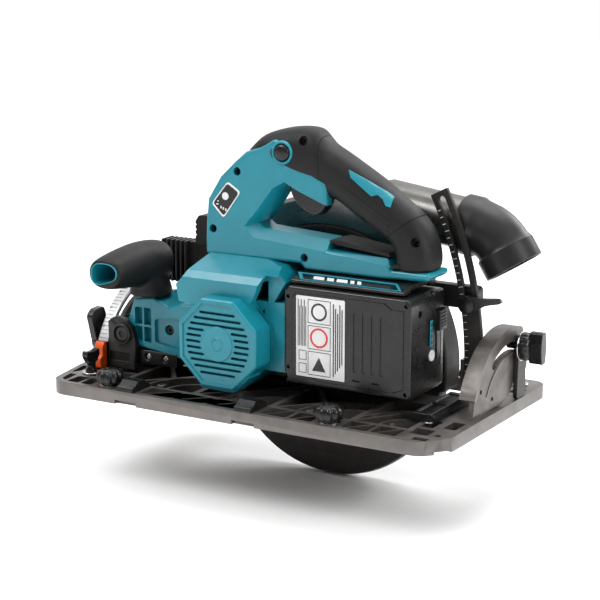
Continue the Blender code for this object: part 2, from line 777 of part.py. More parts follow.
def intermediate_gear():
    centre = (MIDDLE_X, MIDDLE_Z)
    first = gear_outline(FIRST_TEETH, FIRST_MODULE, centre, tooth_towards(centre, (MOTOR_X, MOTOR_Z)))
    phase = mesh_phase(centre, (BLADE_X, BLADE_Z), SECOND_TEETH)
    second = gear_outline(SECOND_TEETH, SECOND_MODULE, centre, phase)
    made = plate("Y", *FIRST_STAGE_Y, first)
    join(made, plate("Y", 8, SECOND_STAGE_Y[1], second))
    join(made, along_y(*centre, -1.5, 23.5, 3.1, 16))
    return part("intermediate_gear", made, "steel", MIDDLE)


def rotor_shaft():
    centre = (MOTOR_X, MOTOR_Z)
    phase = mesh_phase(centre, (MIDDLE_X, MIDDLE_Z), ROTOR_TEETH)
    made = along_y(*centre, -82, 4, 3.6, 16)
    join(made, plate("Y", *FIRST_STAGE_Y, gear_outline(ROTOR_TEETH, FIRST_MODULE, centre, phase)))
    return part("rotor_shaft", made, "steel", ROTOR)


def rotor_core():
    return part("rotor_core", ring_along_y(MOTOR_X, MOTOR_Z, -51, -13, 16.8, 4.0), "steel", ROTOR)


def fan():
    made = ring_along_y(MOTOR_X, MOTOR_Z, -60, -57, 30, 4.0)
    for index in range(8):
        angle = math.radians(45 * index)
        vane = box((8, -67, -1), (29, -58, 1))
        vane.data.transform(Matrix.Rotation(angle, 4, "Y"))
        vane.data.transform(Matrix.Translation(Vector((MOTOR_X, 0, MOTOR_Z)) * MM))
        join(made, vane)
    return part("cooling_fan", made, "black_plastic", ROTOR)


def lower_guard():
    centre = (BLADE_X, BLADE_Z)
    start, end = 183.0, 357.0
    made = plate("Y", 31.2, 49, arc(centre, GUARD_RADIUS, start, end, 36))
    join(made, along_y(*centre, 30.4, 34, 27))
    cut(made, along_y(*centre, 33.2, 47, GUARD_RADIUS - 1.8, 60))
    cut(made, along_y(*centre, 40, 60, 62), along_y(*centre, 20, 60, 20.4))
    return part("lower_guard", made, "dark_casting", GUARD)


# ------------------------------------------------------------ controls


def trigger():
    outline = [(3, 221), (44, 208), (45, 200), (41, 184), (32, 179), (22, 187), (6, 203)]
    made = chamfer(plate("Y", HANDLE_Y - 8, HANDLE_Y + 8, outline[::-1]), 1.5)
    return part("trigger", made, "black_plastic", TRIGGER)


def lock_off_button():
    made = along_y(*BUTTON_AXIS, HANDLE_Y - 23, HANDLE_Y + 19, 8, 24)
    return part("lock_off_button", chamfer(made, 1), "black_plastic", BUTTON)


def bevel_lever():
    y, z = arc((TILT_Y, 0), FRONT_SLOT_RADIUS, 156, 157, 1)[0]
    made = rod((-214, y, z), (-201.6, y, z), 9, sides=20)
    join(made, rod((-203, y, z), (-184, y, z), 3.5, sides=16))
    wing = rounded([(y - 8, z), (y - 15, z + 30), (y + 3, z + 33), (y + 8, z)], 3, 2)
    join(made, plate("X", -213, -206, wing))
    return part("bevel_lever", made, "black_plastic", LEVER)


def rear_knob():
    y, z = REAR_STUD
    made = rod((204.9, y, z), (214, y, z), 13, sides=20)
    join(made, box((213, y - 4, z - 15), (226, y + 4, z + 15)), rod((190, y, z), (206, y, z), 3.5, sides=16))
    return part("rear_bevel_knob", made, "black_plastic", KNOB)


def depth_lever():
    angle = math.radians(CLAMP_ANGLE)
    middle = (GUIDE_INNER + GUIDE_OUTER) / 2
    x, z = DEPTH_X + middle * math.cos(angle), DEPTH_Z + middle * math.sin(angle)
    made = along_y(x, z, 3, 11.6, 8.5, 20)
    join(made, along_y(x, z, 8, 25.5, 3.0, 16))
    join(made, plate("Y", 5, 10, [(x, z - 6), (x + 30, z + 3), (x + 31, z + 8), (x, z + 6)]))
    return part("depth_lever", made, "black_plastic", DEPTH)


def round_knob(name, x, y, owner):
    made = rod((x, y, BASE_TOP + GAP), (x, y, 17), 8, sides=16)
    join(made, rod((x, y, 16), (x, y, 28), 13, 11.5, sides=24), rod((x, y, 4), (x, y, 16), 3, sides=12))
    return part(name, made, "black_plastic", owner)


def thumb_screw(name, x, y, owner):
    made = rod((x, y, BASE_TOP + GAP), (x, y, 24), 5, sides=16)
    join(made, box((x - 4, y - 10, 22), (x + 4, y + 10, 37)), rod((x, y, 4), (x, y, 15), 3, sides=12))
    return part(name, made, "black_plastic", owner)


def dust_elbow():
    start = Vector((DUCT_FRONT[0], DUCT_Y, DUCT_FRONT[1]))
    end = Vector((DUCT_REAR[0], DUCT_Y, DUCT_REAR[1]))
    step = (end - start).normalized()
    down = Vector((-step.z, 0, step.x)) * -1
    bend, turns = 36.0, math.radians(50)
    runs = []
    for reach in (-9, 0, 6):
        runs.append(end + step * reach)
    corner = end + step * 6
    for index in range(1, 7):
        angle = turns * index / 6
        runs.append(corner + step * bend * math.sin(angle) + down * bend * (1 - math.cos(angle)))
    last = (runs[-1] - runs[-2]).normalized()
    runs.append(runs[-1] + last * 20)
    made = pipe(runs, 27.8, 6)
    inner = [runs[0] - step * 5] + runs[1:-1] + [runs[-1] + last * 5]
    cut(made, pipe(inner, 25.4, 6))
    return part("dust_elbow", made, "black_plastic", ELBOW)


def battery():
    """The pack's far side is stepped, so that it slides out past the gear housing and the depth guide."""
    low, high = BATTERY_LOW, BATTERY_HIGH
    made = chamfer(box(low, (high[0], -3.5, high[2])), 4)
    join(made, chamfer(box((41, -20, low[2] + 0.4), (high[0] - 0.4, 2.5, high[2] - 0.4)), 3))
    join(made, chamfer(box((41.4, -20, low[2] + 0.8), (129, high[1], high[2] - 0.8)), 3))
    cut(made, box((high[0] - 6, -14.4, 84), (high[0] + 5, 1.4, 104)))
    part("battery_case", made, "black_plastic", BATTERY)
    label = box((low[0] + 14, low[1] - 1.3, 41), (low[0] + 64, low[1] - GAP, 111))
    part("battery_label", label, "label", BATTERY)
    release = box((high[0] - 3.4, -14, 84.4), (high[0] + 3, 1, 103.6))
    part("battery_release", release, "label", RELEASE)


BASE = body("base", (0, 0, 0))
TILT = body("tilt_frame", (0, TILT_Y, 0), BASE)
HEAD = body("saw_head", (DEPTH_X, 0, DEPTH_Z), TILT)
BLADE = body("blade", (BLADE_X, BLADE_Y, BLADE_Z), HEAD)
MIDDLE = body("intermediate", (MIDDLE_X, 6, MIDDLE_Z), HEAD)
ROTOR = body("rotor", (MOTOR_X, -30, MOTOR_Z), HEAD)
GUARD = body("guard", (BLADE_X, BLADE_Y, BLADE_Z), HEAD)
TRIGGER = body("trigger", (5, HANDLE_Y, 219), HEAD)
BUTTON = body("lock_off", (BUTTON_AXIS[0], HANDLE_Y, BUTTON_AXIS[1]), HEAD)
LEVER = body("bevel_lever", (-208, -36.7, 34.2), TILT)
KNOB = body("rear_knob", (212, *REAR_STUD), BASE)
DEPTH = body("depth_lever", (170.5, 9, 110.4), HEAD)
KNOB_FRONT = body("rail_knob_front", (-148, -103, 20), BASE)
KNOB_REAR = body("rail_knob_rear", (91, -103, 20), BASE)
SCREW_FRONT = body("fence_screw_front", (-190, -77, 20), BASE)
SCREW_REAR = body("fence_screw_rear", (184.5, 96, 20), BASE)
ELBOW = body("dust_elbow", (DUCT_REAR[0], DUCT_Y, DUCT_REAR[1]), HEAD)
BATTERY = body("battery", (86, -26, 76), HEAD)
RELEASE = body("battery_release", (151, -4, 94), BATTERY)

base_plate()
front_quadrant()
bevel_scale()
rear_lug()
rail_shoe("rail_shoe_front", -121)
rail_shoe("rail_shoe_rear", 9)
rear_cross_bar()
bevel_stop()
front_bracket()
depth_pivot_pin()
depth_guide()
rear_quadrant()
blade_case()
blade_case_cover()
gear_housing()
gear_cover()
motor_housing()
motor_cap()
front_arm()
arm_screw()
stator()
bearing("spindle_bearing", BLADE_X, BLADE_Z, 22.6, 29.5, 11.2, 7.3)
bearing("motor_bearing_front", MOTOR_X, MOTOR_Z, -4.5, 1.0, 9, 3.9)
bearing("motor_bearing_rear", MOTOR_X, MOTOR_Z, -84.2, -78, 6.9, 3.9)
controller_board()
handle_shells()
handle_grip()
switch_module()
control_panel()
front_grip()
dust_duct()
battery_socket()
spanner_holder()
handle_screws()
saw_blade()
spindle()
flanges()
blade_bolt()
intermediate_gear()
rotor_shaft()
rotor_core()
fan()
lower_guard()
trigger()
lock_off_button()
bevel_lever()
rear_knob()
depth_lever()
round_knob("rail_knob_front", -148, -103, KNOB_FRONT)
round_knob("rail_knob_rear", 91, -103, KNOB_REAR)
thumb_screw("fence_screw_front", -190, -77, SCREW_FRONT)
thumb_screw("fence_screw_rear", 184.5, 96, SCREW_REAR)
dust_elbow()
battery()
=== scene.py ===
# %% [markdown]
# A cordless circular saw that runs on a guide rail: a ribbed base, a tilting frame, a saw head with its
# motor, handles and guards, and a battery. The CAD model gives every place and motion. This lesson gives
# each piece its visible surface, so it starts by bringing that frame in.

import json
import math

import bmesh
import bpy
from mathutils import Matrix, Vector


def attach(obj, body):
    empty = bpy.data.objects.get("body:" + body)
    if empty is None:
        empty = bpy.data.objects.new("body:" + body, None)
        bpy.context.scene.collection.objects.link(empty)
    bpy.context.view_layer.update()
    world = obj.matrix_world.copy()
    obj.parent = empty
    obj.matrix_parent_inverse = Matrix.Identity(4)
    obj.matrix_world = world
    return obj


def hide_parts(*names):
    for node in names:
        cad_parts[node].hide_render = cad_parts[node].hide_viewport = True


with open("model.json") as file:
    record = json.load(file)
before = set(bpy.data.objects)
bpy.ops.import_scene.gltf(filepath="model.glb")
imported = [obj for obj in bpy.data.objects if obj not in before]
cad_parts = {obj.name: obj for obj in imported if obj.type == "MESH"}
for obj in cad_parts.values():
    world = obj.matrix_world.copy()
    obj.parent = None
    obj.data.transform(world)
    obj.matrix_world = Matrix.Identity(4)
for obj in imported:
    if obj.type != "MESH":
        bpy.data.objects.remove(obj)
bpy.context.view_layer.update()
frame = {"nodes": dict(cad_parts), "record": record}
MM = 0.001

# %% [markdown]
# Most parts of a power tool are moulded or cast in a form that opens one way, so a flat outline pushed
# straight through is a good start for them. Sizes are written in millimetres and turned into metres here.
# The outline's two numbers are (y, z), (x, z) or (x, y) for the axes X, Y and Z.

# %% Slabs, blocks and rods
AXES = {
    "X": (Vector((0, 1, 0)), Vector((0, 0, 1)), Vector((1, 0, 0))),
    "Y": (Vector((1, 0, 0)), Vector((0, 0, 1)), Vector((0, 1, 0))),
    "Z": (Vector((1, 0, 0)), Vector((0, 1, 0)), Vector((0, 0, 1))),
}


def verts_of(geometry):
    return [item for item in geometry if isinstance(item, bmesh.types.BMVert)]


def edges_of(geometry):
    return [item for item in geometry if isinstance(item, bmesh.types.BMEdge)]


def slab(axis, low, high, outline):
    """A flat outline given thickness along an axis."""
    across, up, along = AXES[axis]
    bm = bmesh.new()
    corners = [bm.verts.new((across * a + up * b + along * low) * MM) for a, b in outline]
    pushed = bmesh.ops.extrude_face_region(bm, geom=[bm.faces.new(corners)])
    bmesh.ops.translate(bm, vec=along * (high - low) * MM, verts=verts_of(pushed["geom"]))
    bmesh.ops.recalc_face_normals(bm, faces=bm.faces)
    return bm


def block(low, high):
    bm = bmesh.new()
    bmesh.ops.create_cube(bm, size=1)
    low, high = Vector(low), Vector(high)
    bmesh.ops.scale(bm, vec=(high - low) * MM, verts=bm.verts)
    bmesh.ops.translate(bm, vec=(high + low) * MM / 2, verts=bm.verts)
    return bm


def turn_to(direction):
    return Vector(direction).to_track_quat("Z", "Y").to_matrix().to_4x4()


def rod(start, end, radius, sides=32):
    start, end = Vector(start) * MM, Vector(end) * MM
    bm = bmesh.new()
    bmesh.ops.create_cone(
        bm, cap_ends=True, segments=sides, depth=(end - start).length, radius1=radius * MM,
        radius2=radius * MM,
    )
    bm.transform(Matrix.Translation((start + end) / 2) @ turn_to(end - start))
    return bm


def rod_across(point, y0, y1, radius, sides=32):
    """A rod along y through a point (x, z) of the side view."""
    x, z = point
    return rod((x, y0, z), (x, y1, z), radius, sides)


print("flat shapes ready")

# %% [markdown]
# Knobs, washers and bolts are turned on a lathe or moulded round. A profile of (radius, height) points is
# spun once about its axis. Curved edges come from arcs, and a run of points is smoothed by a spline, the
# way a drafter draws a fair curve through a few stations.

# %% Turned shapes, arcs and fair curves
UP = (0, 0, 1)
NEAR, FAR = (0, -1, 0), (0, 1, 0)
FRONT, REAR = (-1, 0, 0), (1, 0, 0)


def turned(base, direction, profile, steps=32):
    bm = bmesh.new()
    points = [bm.verts.new((radius * MM, 0, height * MM)) for radius, height in profile]
    lines = [bm.edges.new(pair) for pair in zip(points, points[1:])]
    bmesh.ops.spin(
        bm, geom=points + lines, cent=(0, 0, 0), axis=(0, 0, 1), angle=2 * math.pi, steps=steps,
        use_merge=True,
    )
    bmesh.ops.remove_doubles(bm, verts=bm.verts, dist=1e-6)
    bmesh.ops.recalc_face_normals(bm, faces=bm.faces)
    bm.transform(Matrix.Translation(Vector(base) * MM) @ turn_to(direction))
    return bm


def on_arc(centre, radius, degrees):
    angle = math.radians(degrees)
    return centre[0] + radius * math.cos(angle), centre[1] + radius * math.sin(angle)


def arc(centre, radius, start, end, steps):
    return [on_arc(centre, radius, start + (end - start) * step / steps) for step in range(steps + 1)]


def at_y(point, y):
    """A point (x, z) of a side view, set at a y."""
    return point[0], y, point[1]


def band(centre, inner, outer, start, end, steps=32):
    return arc(centre, outer, start, end, steps) + arc(centre, inner, end, start, steps)


def curved_slot(centre, radius, half_width, start, end, steps=20):
    near, far = arc(centre, radius, start, end, 1)
    outer = arc(centre, radius + half_width, start, end, steps)
    inner = arc(centre, radius - half_width, end, start, steps)
    far_end = arc(far, half_width, end, end + 180, 6)[1:-1]
    near_end = arc(near, half_width, start + 180, start + 360, 6)[1:-1]
    return outer + far_end + inner + near_end


def fair(stations, per=4, closed=False):
    """A Catmull-Rom run through rows of numbers."""
    rows = [Vector(row) for row in stations]
    count = len(rows)
    made = []
    for index in range(count if closed else count - 1):
        if closed:
            before, here, after, beyond = (rows[(index + step) % count] for step in (-1, 0, 1, 2))
        else:
            before, here = rows[max(0, index - 1)], rows[index]
            after, beyond = rows[index + 1], rows[min(count - 1, index + 2)]
        for step in range(per):
            t = step / per
            made.append(
                0.5 * (2 * here + (after - before) * t + (2 * before - 5 * here + 4 * after - beyond) * t * t
                       + (3 * here - before - 3 * after + beyond) * t * t * t)
            )
    return made if closed else made + [rows[-1]]


def rounded(points, radius, steps=4):
    """The same outline with its corners rounded."""
    made = []
    for index, corner in enumerate(points):
        corner = Vector(corner)
        before = Vector(points[index - 1]) - corner
        after = Vector(points[(index + 1) % len(points)]) - corner
        reach = min(radius, before.length * 0.45, after.length * 0.45)
        start, end = corner + before.normalized() * reach, corner + after.normalized() * reach
        for step in range(steps + 1):
            t = step / steps
            made.append(tuple(start * (1 - t) ** 2 + corner * 2 * t * (1 - t) + end * t * t))
    return made


print("round shapes ready")

# %% [markdown]
# Grips and hoses have one section that changes along a line. A circle is squared a little, set at the
# first station and extruded from station to station, each a matrix that places and sizes the ring.

# %% Swept shapes
def station(centre, side, up):
    """The matrix that puts a unit circle at a centre, with its two half-axes as vectors in millimetres."""
    side, up = Vector(side) * MM, Vector(up) * MM
    columns = side, up, side.cross(up).normalized() * MM, Vector(centre) * MM
    return Matrix([[column[row] for column in columns] for row in range(3)] + [[0, 0, 0, 1]])


def swept(stations, power=2.0, sides=40):
    bm = bmesh.new()
    ring = bmesh.ops.create_circle(bm, cap_ends=False, segments=sides, radius=1)["verts"]
    for vert in ring:
        vert.co *= (abs(vert.co.x) ** power + abs(vert.co.y) ** power) ** (-1 / power)
    bmesh.ops.transform(bm, matrix=stations[0], verts=ring)
    edges = list(bm.edges)
    bmesh.ops.contextual_create(bm, geom=edges)
    for before, after in zip(stations, stations[1:]):
        grown = bmesh.ops.extrude_edge_only(bm, edges=edges)["geom"]
        edges = edges_of(grown)
        bmesh.ops.transform(bm, matrix=after @ before.inverted(), verts=verts_of(grown))
    bmesh.ops.contextual_create(bm, geom=edges)
    bmesh.ops.recalc_face_normals(bm, faces=bm.faces)
    return bm


def hose(points, radii, sides=40):
    """A round tube of changing radius whose line stays in a plane of constant y."""
    places = []
    for index, point in enumerate(points):
        point = Vector(point)
        ahead = Vector(points[min(index + 1, len(points) - 1)]) - Vector(points[max(index - 1, 0)])
        across = ahead.normalized().cross(Vector((0, 1, 0)))
        places.append(station(point, Vector((0, 1, 0)) * radii[index], across * radii[index]))
    return swept(places, sides=sides)


print("swept shapes ready")

# %% [markdown]
# Pockets, slots and joins are cut with exact Booleans, worked out at once so that only the finished mesh
# stays. Every real edge has a small radius that catches the light, so sharp edges are bevelled after that.

# %% Cutting, joining and softening
def as_object(bm):
    mesh = bpy.data.meshes.new("work")
    bm.to_mesh(mesh)
    bm.free()
    made = bpy.data.objects.new("work", mesh)
    bpy.context.scene.collection.objects.link(made)
    return made


def worked(target):
    """The mesh of an object with its modifiers, as a bmesh, and the object gone."""
    graph = bpy.context.evaluated_depsgraph_get()
    mesh = bpy.data.meshes.new_from_object(target.evaluated_get(graph))
    bm = bmesh.new()
    bm.from_mesh(mesh)
    bpy.data.objects.remove(target)
    bpy.data.meshes.remove(mesh)
    return bm


def combine(bm, others, operation):
    target = as_object(bm)
    tools = [as_object(other) for other in others]
    for tool in tools:
        modifier = target.modifiers.new(operation, "BOOLEAN")
        modifier.operation, modifier.solver, modifier.object = operation, "EXACT", tool
    made = worked(target)
    for tool in tools:
        bpy.data.objects.remove(tool)
    bmesh.ops.remove_doubles(made, verts=made.verts, dist=0.02 * MM)
    bmesh.ops.dissolve_limit(made, angle_limit=math.radians(0.6), verts=made.verts, edges=made.edges)
    return made


def cut(bm, *tools):
    return combine(bm, tools, "DIFFERENCE")


def joined(bm, *others):
    return combine(bm, others, "UNION")


def together(bm, *others):
    """Several closed shapes in one mesh, as when screws sit in a plate."""
    for other in others:
        mesh = bpy.data.meshes.new("work")
        other.to_mesh(mesh)
        other.free()
        bm.from_mesh(mesh)
        bpy.data.meshes.remove(mesh)
    return bm


def soften(bm, width, segments=2, angle=28, where=None):
    """Bevels the edges that turn more than an angle, or those of them that where() picks."""
    picked = [
        edge for edge in bm.edges
        if edge.is_manifold and edge.calc_face_angle(0) > math.radians(angle) and (
            where is None or where(edge)
        )
    ]
    bmesh.ops.bevel(
        bm, geom=picked, offset=width * MM, offset_type="OFFSET", affect="EDGES", segments=segments,
        profile=0.5, material=-1, clamp_overlap=True,
    )
    return bm


def melted(bm, voxel=1.2, passes=14):
    """A soft moulding: the shape remeshed evenly and relaxed until its inner corners fill."""
    target = as_object(bm)
    remesh = target.modifiers.new("even", "REMESH")
    remesh.mode, remesh.voxel_size = "VOXEL", voxel * MM
    relax = target.modifiers.new("relax", "SMOOTH")
    relax.factor, relax.iterations = 0.5, passes
    return worked(target)


print("cutting tools ready")

# %% [markdown]
# Moulded and cast surfaces are never perfectly even. Two effects are shared by all the finishes: a fine
# grain for the bump, and a slow mottling for colour and gloss. Each is a node group that puts out one
# number, and each finish places it with its own values.

# %% Shared surface effects
def effect(name, inputs, output):
    tree = bpy.data.node_groups.new(name, "ShaderNodeTree")
    tree.interface.new_socket("Vector", in_out="INPUT", socket_type="NodeSocketVector")
    for label, value in inputs:
        tree.interface.new_socket(label, in_out="INPUT", socket_type="NodeSocketFloat").default_value = value
    tree.interface.new_socket(output, in_out="OUTPUT", socket_type="NodeSocketFloat")
    return tree, tree.nodes.new("NodeGroupInput"), tree.nodes.new("NodeGroupOutput")


def grain_effect():
    tree, given, result = effect("fine_grain", [("Scale", 900), ("Depth", 0.5)], "Height")
    noise = tree.nodes.new("ShaderNodeTexNoise")
    noise.inputs["Detail"].default_value = 3
    multiply = tree.nodes.new("ShaderNodeMath")
    multiply.operation = "MULTIPLY"
    tree.links.new(given.outputs["Vector"], noise.inputs["Vector"])
    tree.links.new(given.outputs["Scale"], noise.inputs["Scale"])
    tree.links.new(noise.outputs["Fac"], multiply.inputs[0])
    tree.links.new(given.outputs["Depth"], multiply.inputs[1])
    tree.links.new(multiply.outputs[0], result.inputs["Height"])
    return tree


def mottle_effect():
    tree, given, result = effect("slow_mottle", [("Scale", 30), ("Low", 0.0), ("High", 1.0)], "Value")
    noise = tree.nodes.new("ShaderNodeTexNoise")
    noise.inputs["Detail"].default_value = 5
    noise.inputs["Roughness"].default_value = 0.6
    spread = tree.nodes.new("ShaderNodeMapRange")
    spread.inputs["From Min"].default_value = 0.35
    spread.inputs["From Max"].default_value = 0.65
    tree.links.new(given.outputs["Vector"], noise.inputs["Vector"])
    tree.links.new(given.outputs["Scale"], noise.inputs["Scale"])
    tree.links.new(noise.outputs["Fac"], spread.inputs["Value"])
    tree.links.new(given.outputs["Low"], spread.inputs["To Min"])
    tree.links.new(given.outputs["High"], spread.inputs["To Max"])
    tree.links.new(spread.outputs["Result"], result.inputs["Value"])
    return tree


GRAIN = grain_effect()
MOTTLE = mottle_effect()
print("effects:", GRAIN.name, MOTTLE.name)

# %% [markdown]
# One function mixes a finish from those effects. The two colours are the surface's darker and lighter
# parts, the edge highlight amount paints a highlight on convex edges by lightening their colour, and brushed
# stretches the grain along an axis, which suits wound copper.

# %% Finishes
def finish(
    name, dark, light, rough, metallic=0.0, grain=900, depth=0.15, mottle=40, edge_highlight=0.0, brushed=None,
    coat=0.0, specular=0.3,
):
    made = bpy.data.materials.new(name)
    made.use_nodes = True
    nodes, links = made.node_tree.nodes, made.node_tree.links
    shader = nodes["Principled BSDF"]
    shader.inputs["Metallic"].default_value = metallic
    shader.inputs["Coat Weight"].default_value = coat
    shader.inputs["Specular IOR Level"].default_value = specular
    shader.inputs["Coat Roughness"].default_value = 0.12
    place = nodes.new("ShaderNodeTexCoord").outputs["Object"]
    if brushed:
        stretch = nodes.new("ShaderNodeMapping")
        stretch.inputs["Scale"].default_value = brushed
        links.new(place, stretch.inputs["Vector"])
        fine_place = stretch.outputs["Vector"]
    else:
        fine_place = place

    tone = nodes.new("ShaderNodeGroup")
    tone.node_tree = MOTTLE
    tone.inputs["Scale"].default_value = mottle
    links.new(place, tone.inputs["Vector"])
    mix = nodes.new("ShaderNodeMix")
    mix.data_type = "RGBA"
    mix.inputs["A"].default_value = (*dark, 1)
    mix.inputs["B"].default_value = (*light, 1)
    links.new(tone.outputs["Value"], mix.inputs["Factor"])
    colour = mix.outputs["Result"]
    # Painted highlight: convex edges, found by pointiness, get a lighter colour.
    if edge_highlight:
        edges = nodes.new("ShaderNodeMapRange")
        edges.inputs["From Min"].default_value = 0.52
        edges.inputs["From Max"].default_value = 0.6
        edges.inputs["To Max"].default_value = edge_highlight
        links.new(nodes.new("ShaderNodeNewGeometry").outputs["Pointiness"], edges.inputs["Value"])
        edge_highlight_mix = nodes.new("ShaderNodeMix")
        edge_highlight_mix.data_type = "RGBA"
        edge_highlight_mix.inputs["B"].default_value = (*(min(1.0, channel * 2.2 + 0.05) for channel in light), 1)
        links.new(edges.outputs["Result"], edge_highlight_mix.inputs["Factor"])
        links.new(colour, edge_highlight_mix.inputs["A"])
        colour = edge_highlight_mix.outputs["Result"]
    links.new(colour, shader.inputs["Base Color"])

    gloss = nodes.new("ShaderNodeGroup")
    gloss.node_tree = MOTTLE
    gloss.inputs["Scale"].default_value = mottle * 2.3
    gloss.inputs["Low"].default_value = rough - 0.05
    gloss.inputs["High"].default_value = rough + 0.05
    links.new(fine_place, gloss.inputs["Vector"])
    links.new(gloss.outputs["Value"], shader.inputs["Roughness"])

    fine = nodes.new("ShaderNodeGroup")
    fine.node_tree = GRAIN
    fine.inputs["Scale"].default_value = grain
    fine.inputs["Depth"].default_value = depth
    links.new(fine_place, fine.inputs["Vector"])
    bump = nodes.new("ShaderNodeBump")
    bump.inputs["Strength"].default_value = 0.5
    bump.inputs["Distance"].default_value = 0.00012
    links.new(fine.outputs["Height"], bump.inputs["Height"])
    links.new(bump.outputs["Normal"], shader.inputs["Normal"])
    return made


# The edge highlight amounts in these finishes paint highlights on convex edges.
FINISHES = {
    "teal_plastic": finish(
        "teal_moulding", (0.002, 0.16, 0.21), (0.003, 0.18, 0.235), 0.36, grain=1300, depth=0.2, edge_highlight=0.1,
        coat=0.15, specular=0.4,
    ),
    "black_plastic": finish(
        "black_moulding", (0.004, 0.004, 0.004), (0.007, 0.007, 0.007), 0.3, grain=1100, depth=0.25,
        edge_highlight=0.06, coat=0.12, specular=0.3,
    ),
    "elastomer": finish(
        "soft_overmould", (0.005, 0.005, 0.005), (0.008, 0.008, 0.008), 0.52, grain=1500, depth=0.9,
        mottle=25, specular=0.24,
    ),
    "cast_base": finish(
        "painted_magnesium", (0.07, 0.063, 0.058), (0.105, 0.096, 0.089), 0.36, 0.6, 800, 0.55, 60,
        edge_highlight=0.35,
    ),
    "dark_casting": finish(
        "dark_cast_metal", (0.014, 0.013, 0.012), (0.024, 0.022, 0.021), 0.42, 0.35, 900, 0.5, 50, edge_highlight=0.2,
    ),
    "steel": finish("brushed_steel", (0.3, 0.3, 0.31), (0.34, 0.34, 0.35), 0.34, 1.0, 500, 0.1, 20),
    "scale_steel": finish(
        "satin_scale", (0.33, 0.33, 0.33), (0.42, 0.42, 0.42), 0.42, 0.5, 900, 0.3, 90, edge_highlight=0.3,
    ),
    "orange_plastic": finish(
        "orange_moulding", (0.6, 0.07, 0.008), (0.7, 0.09, 0.01), 0.36, grain=1100, depth=0.2,
    ),
    "screw_steel": finish(
        "blackened_steel", (0.012, 0.012, 0.012), (0.022, 0.022, 0.022), 0.34, 0.6, 900, 0.3, 120, edge_highlight=0.3,
    ),
    "copper": finish(
        "varnished_copper", (0.5, 0.19, 0.08), (0.66, 0.28, 0.13), 0.3, 1.0, 700, 0.4, 80,
        brushed=(1, 10, 1),
    ),
    "label": finish(
        "printed_film", (0.55, 0.55, 0.55), (0.62, 0.62, 0.62), 0.4, grain=500, depth=0.05, coat=0.3,
    ),
}
DARK_PRINT = finish("dark_print", (0.02, 0.02, 0.022), (0.035, 0.035, 0.037), 0.45, depth=0.05)
WHITE_PRINT = finish("white_print", (0.6, 0.6, 0.6), (0.7, 0.7, 0.7), 0.42, depth=0.05)
RED_PRINT = finish("red_print", (0.5, 0.03, 0.03), (0.6, 0.04, 0.04), 0.42, depth=0.05)
# This edge highlight amount also paints a highlight on convex edges.
GUARD_PAINT = finish(
    "guard_paint", (0.014, 0.012, 0.011), (0.021, 0.018, 0.017), 0.46, 0.3, 900, 0.35, 60, edge_highlight=0.2,
)
DUCT_PAINT = finish("duct_paint", (0.1, 0.097, 0.093), (0.13, 0.126, 0.12), 0.27, 0.9, 900, 0.1, 20)
DUCT_PLASTIC = finish(
    "duct_moulding", (0.006, 0.006, 0.006), (0.01, 0.01, 0.01), 0.4, grain=900, depth=0.25, mottle=20,
    specular=0.3,
)
PLATED = finish("plated_steel", (0.4, 0.4, 0.4), (0.55, 0.55, 0.54), 0.22, 1.0, 600, 0.15, 80)
print("finishes:", ", ".join(FINISHES))

# %% [markdown]
# A piece is finished by giving it a mesh, the body it moves with and a material, which is its record
# slot's finish unless another is given; the CAD nodes it stands for are hidden. Weighted normals keep wide
# flats flat beside the small edge radii.

# %% Make a finished piece
def piece(name, bm, body, slot, stands_for=(), material=None, smooth=40):
    mesh = bpy.data.meshes.new(name)
    bmesh.ops.remove_doubles(bm, verts=bm.verts, dist=0.001 * MM)
    bm.to_mesh(mesh)
    bm.free()
    mesh.materials.append(material or FINISHES[slot])
    mesh.shade_smooth()
    mesh.set_sharp_from_angle(angle=math.radians(smooth))
    made = bpy.data.objects.new(name, mesh)
    bpy.context.scene.collection.objects.link(made)
    even = made.modifiers.new("even_normals", "WEIGHTED_NORMAL")
    even.keep_sharp = True
    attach(made, body)
    if stands_for:
        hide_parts(*stands_for)
    print(f"{name}: {len(mesh.polygons)} faces on {body}")
    return made


def carried_finishes():
    """Every CAD node that stays in sight gets its slot's finish."""
    slots = {part["node"]: part["material_slot"] for part in frame["record"]["subparts"]}
    for name, node in frame["nodes"].items():
        node.data.materials.clear()
        node.data.materials.append(FINISHES[slots[name]])
        node.data.polygons.foreach_set("material_index", [0] * len(node.data.polygons))


carried_finishes()
print("CAD nodes finished")

# %% [markdown]
# The base is one magnesium casting. Pockets between thin ribs keep it light and stiff, so the plate starts
# solid and each bay is cut away around a quarter-arc rib and a slanting one. The raised rims then get a
# small bevel, which shows as a bright line on the painted metal together with the finish's painted highlight
# on convex edges.

# %% Base plate
BASE_TOP = 13.0
ABOVE = 40.0  # past the casting's top, for cutting tools
BAY_FLOOR, POCKET_FLOOR = 4.5, 6.0
BASE_OUTLINE = [
    (186, -117), (205, -95), (205, 109), (197, 117), (-199, 117), (-210, 109), (-220, 55), (-223, 0),
    (-220, -55), (-210, -109), (-199, -117),
]
RIB_BAYS = [(-196, -150), (-144, -66), (-60, 18), (24, 102), (108, 160)]
BAY_Y = (-86, -10)
NEAR_STRIP_Y = (-111.5, -91)
NEAR_STRIP = [(-108, -74), (-70, -38), (-34, -4), (24, 50), (54, 76), (106, 132), (136, 160)]
FAR_STRIP = [(-196, -112), (-106, -20), (-12, 80), (86, 176)]
END_POCKETS = [
    [(166, -96), (184, -96), (184, -80), (166, -80)], [(166, -74), (178, -74), (178, -52), (166, -52)],
    [(186, -70), (198, -70), (198, -48), (186, -48)], [(187, 66), (199, 66), (199, 82), (187, 82)],
    [(-216, -40), (-203, -52), (-203, -10), (-217, -10)], [(-218, 0), (-203, 0), (-203, 40), (-217, 40)],
]
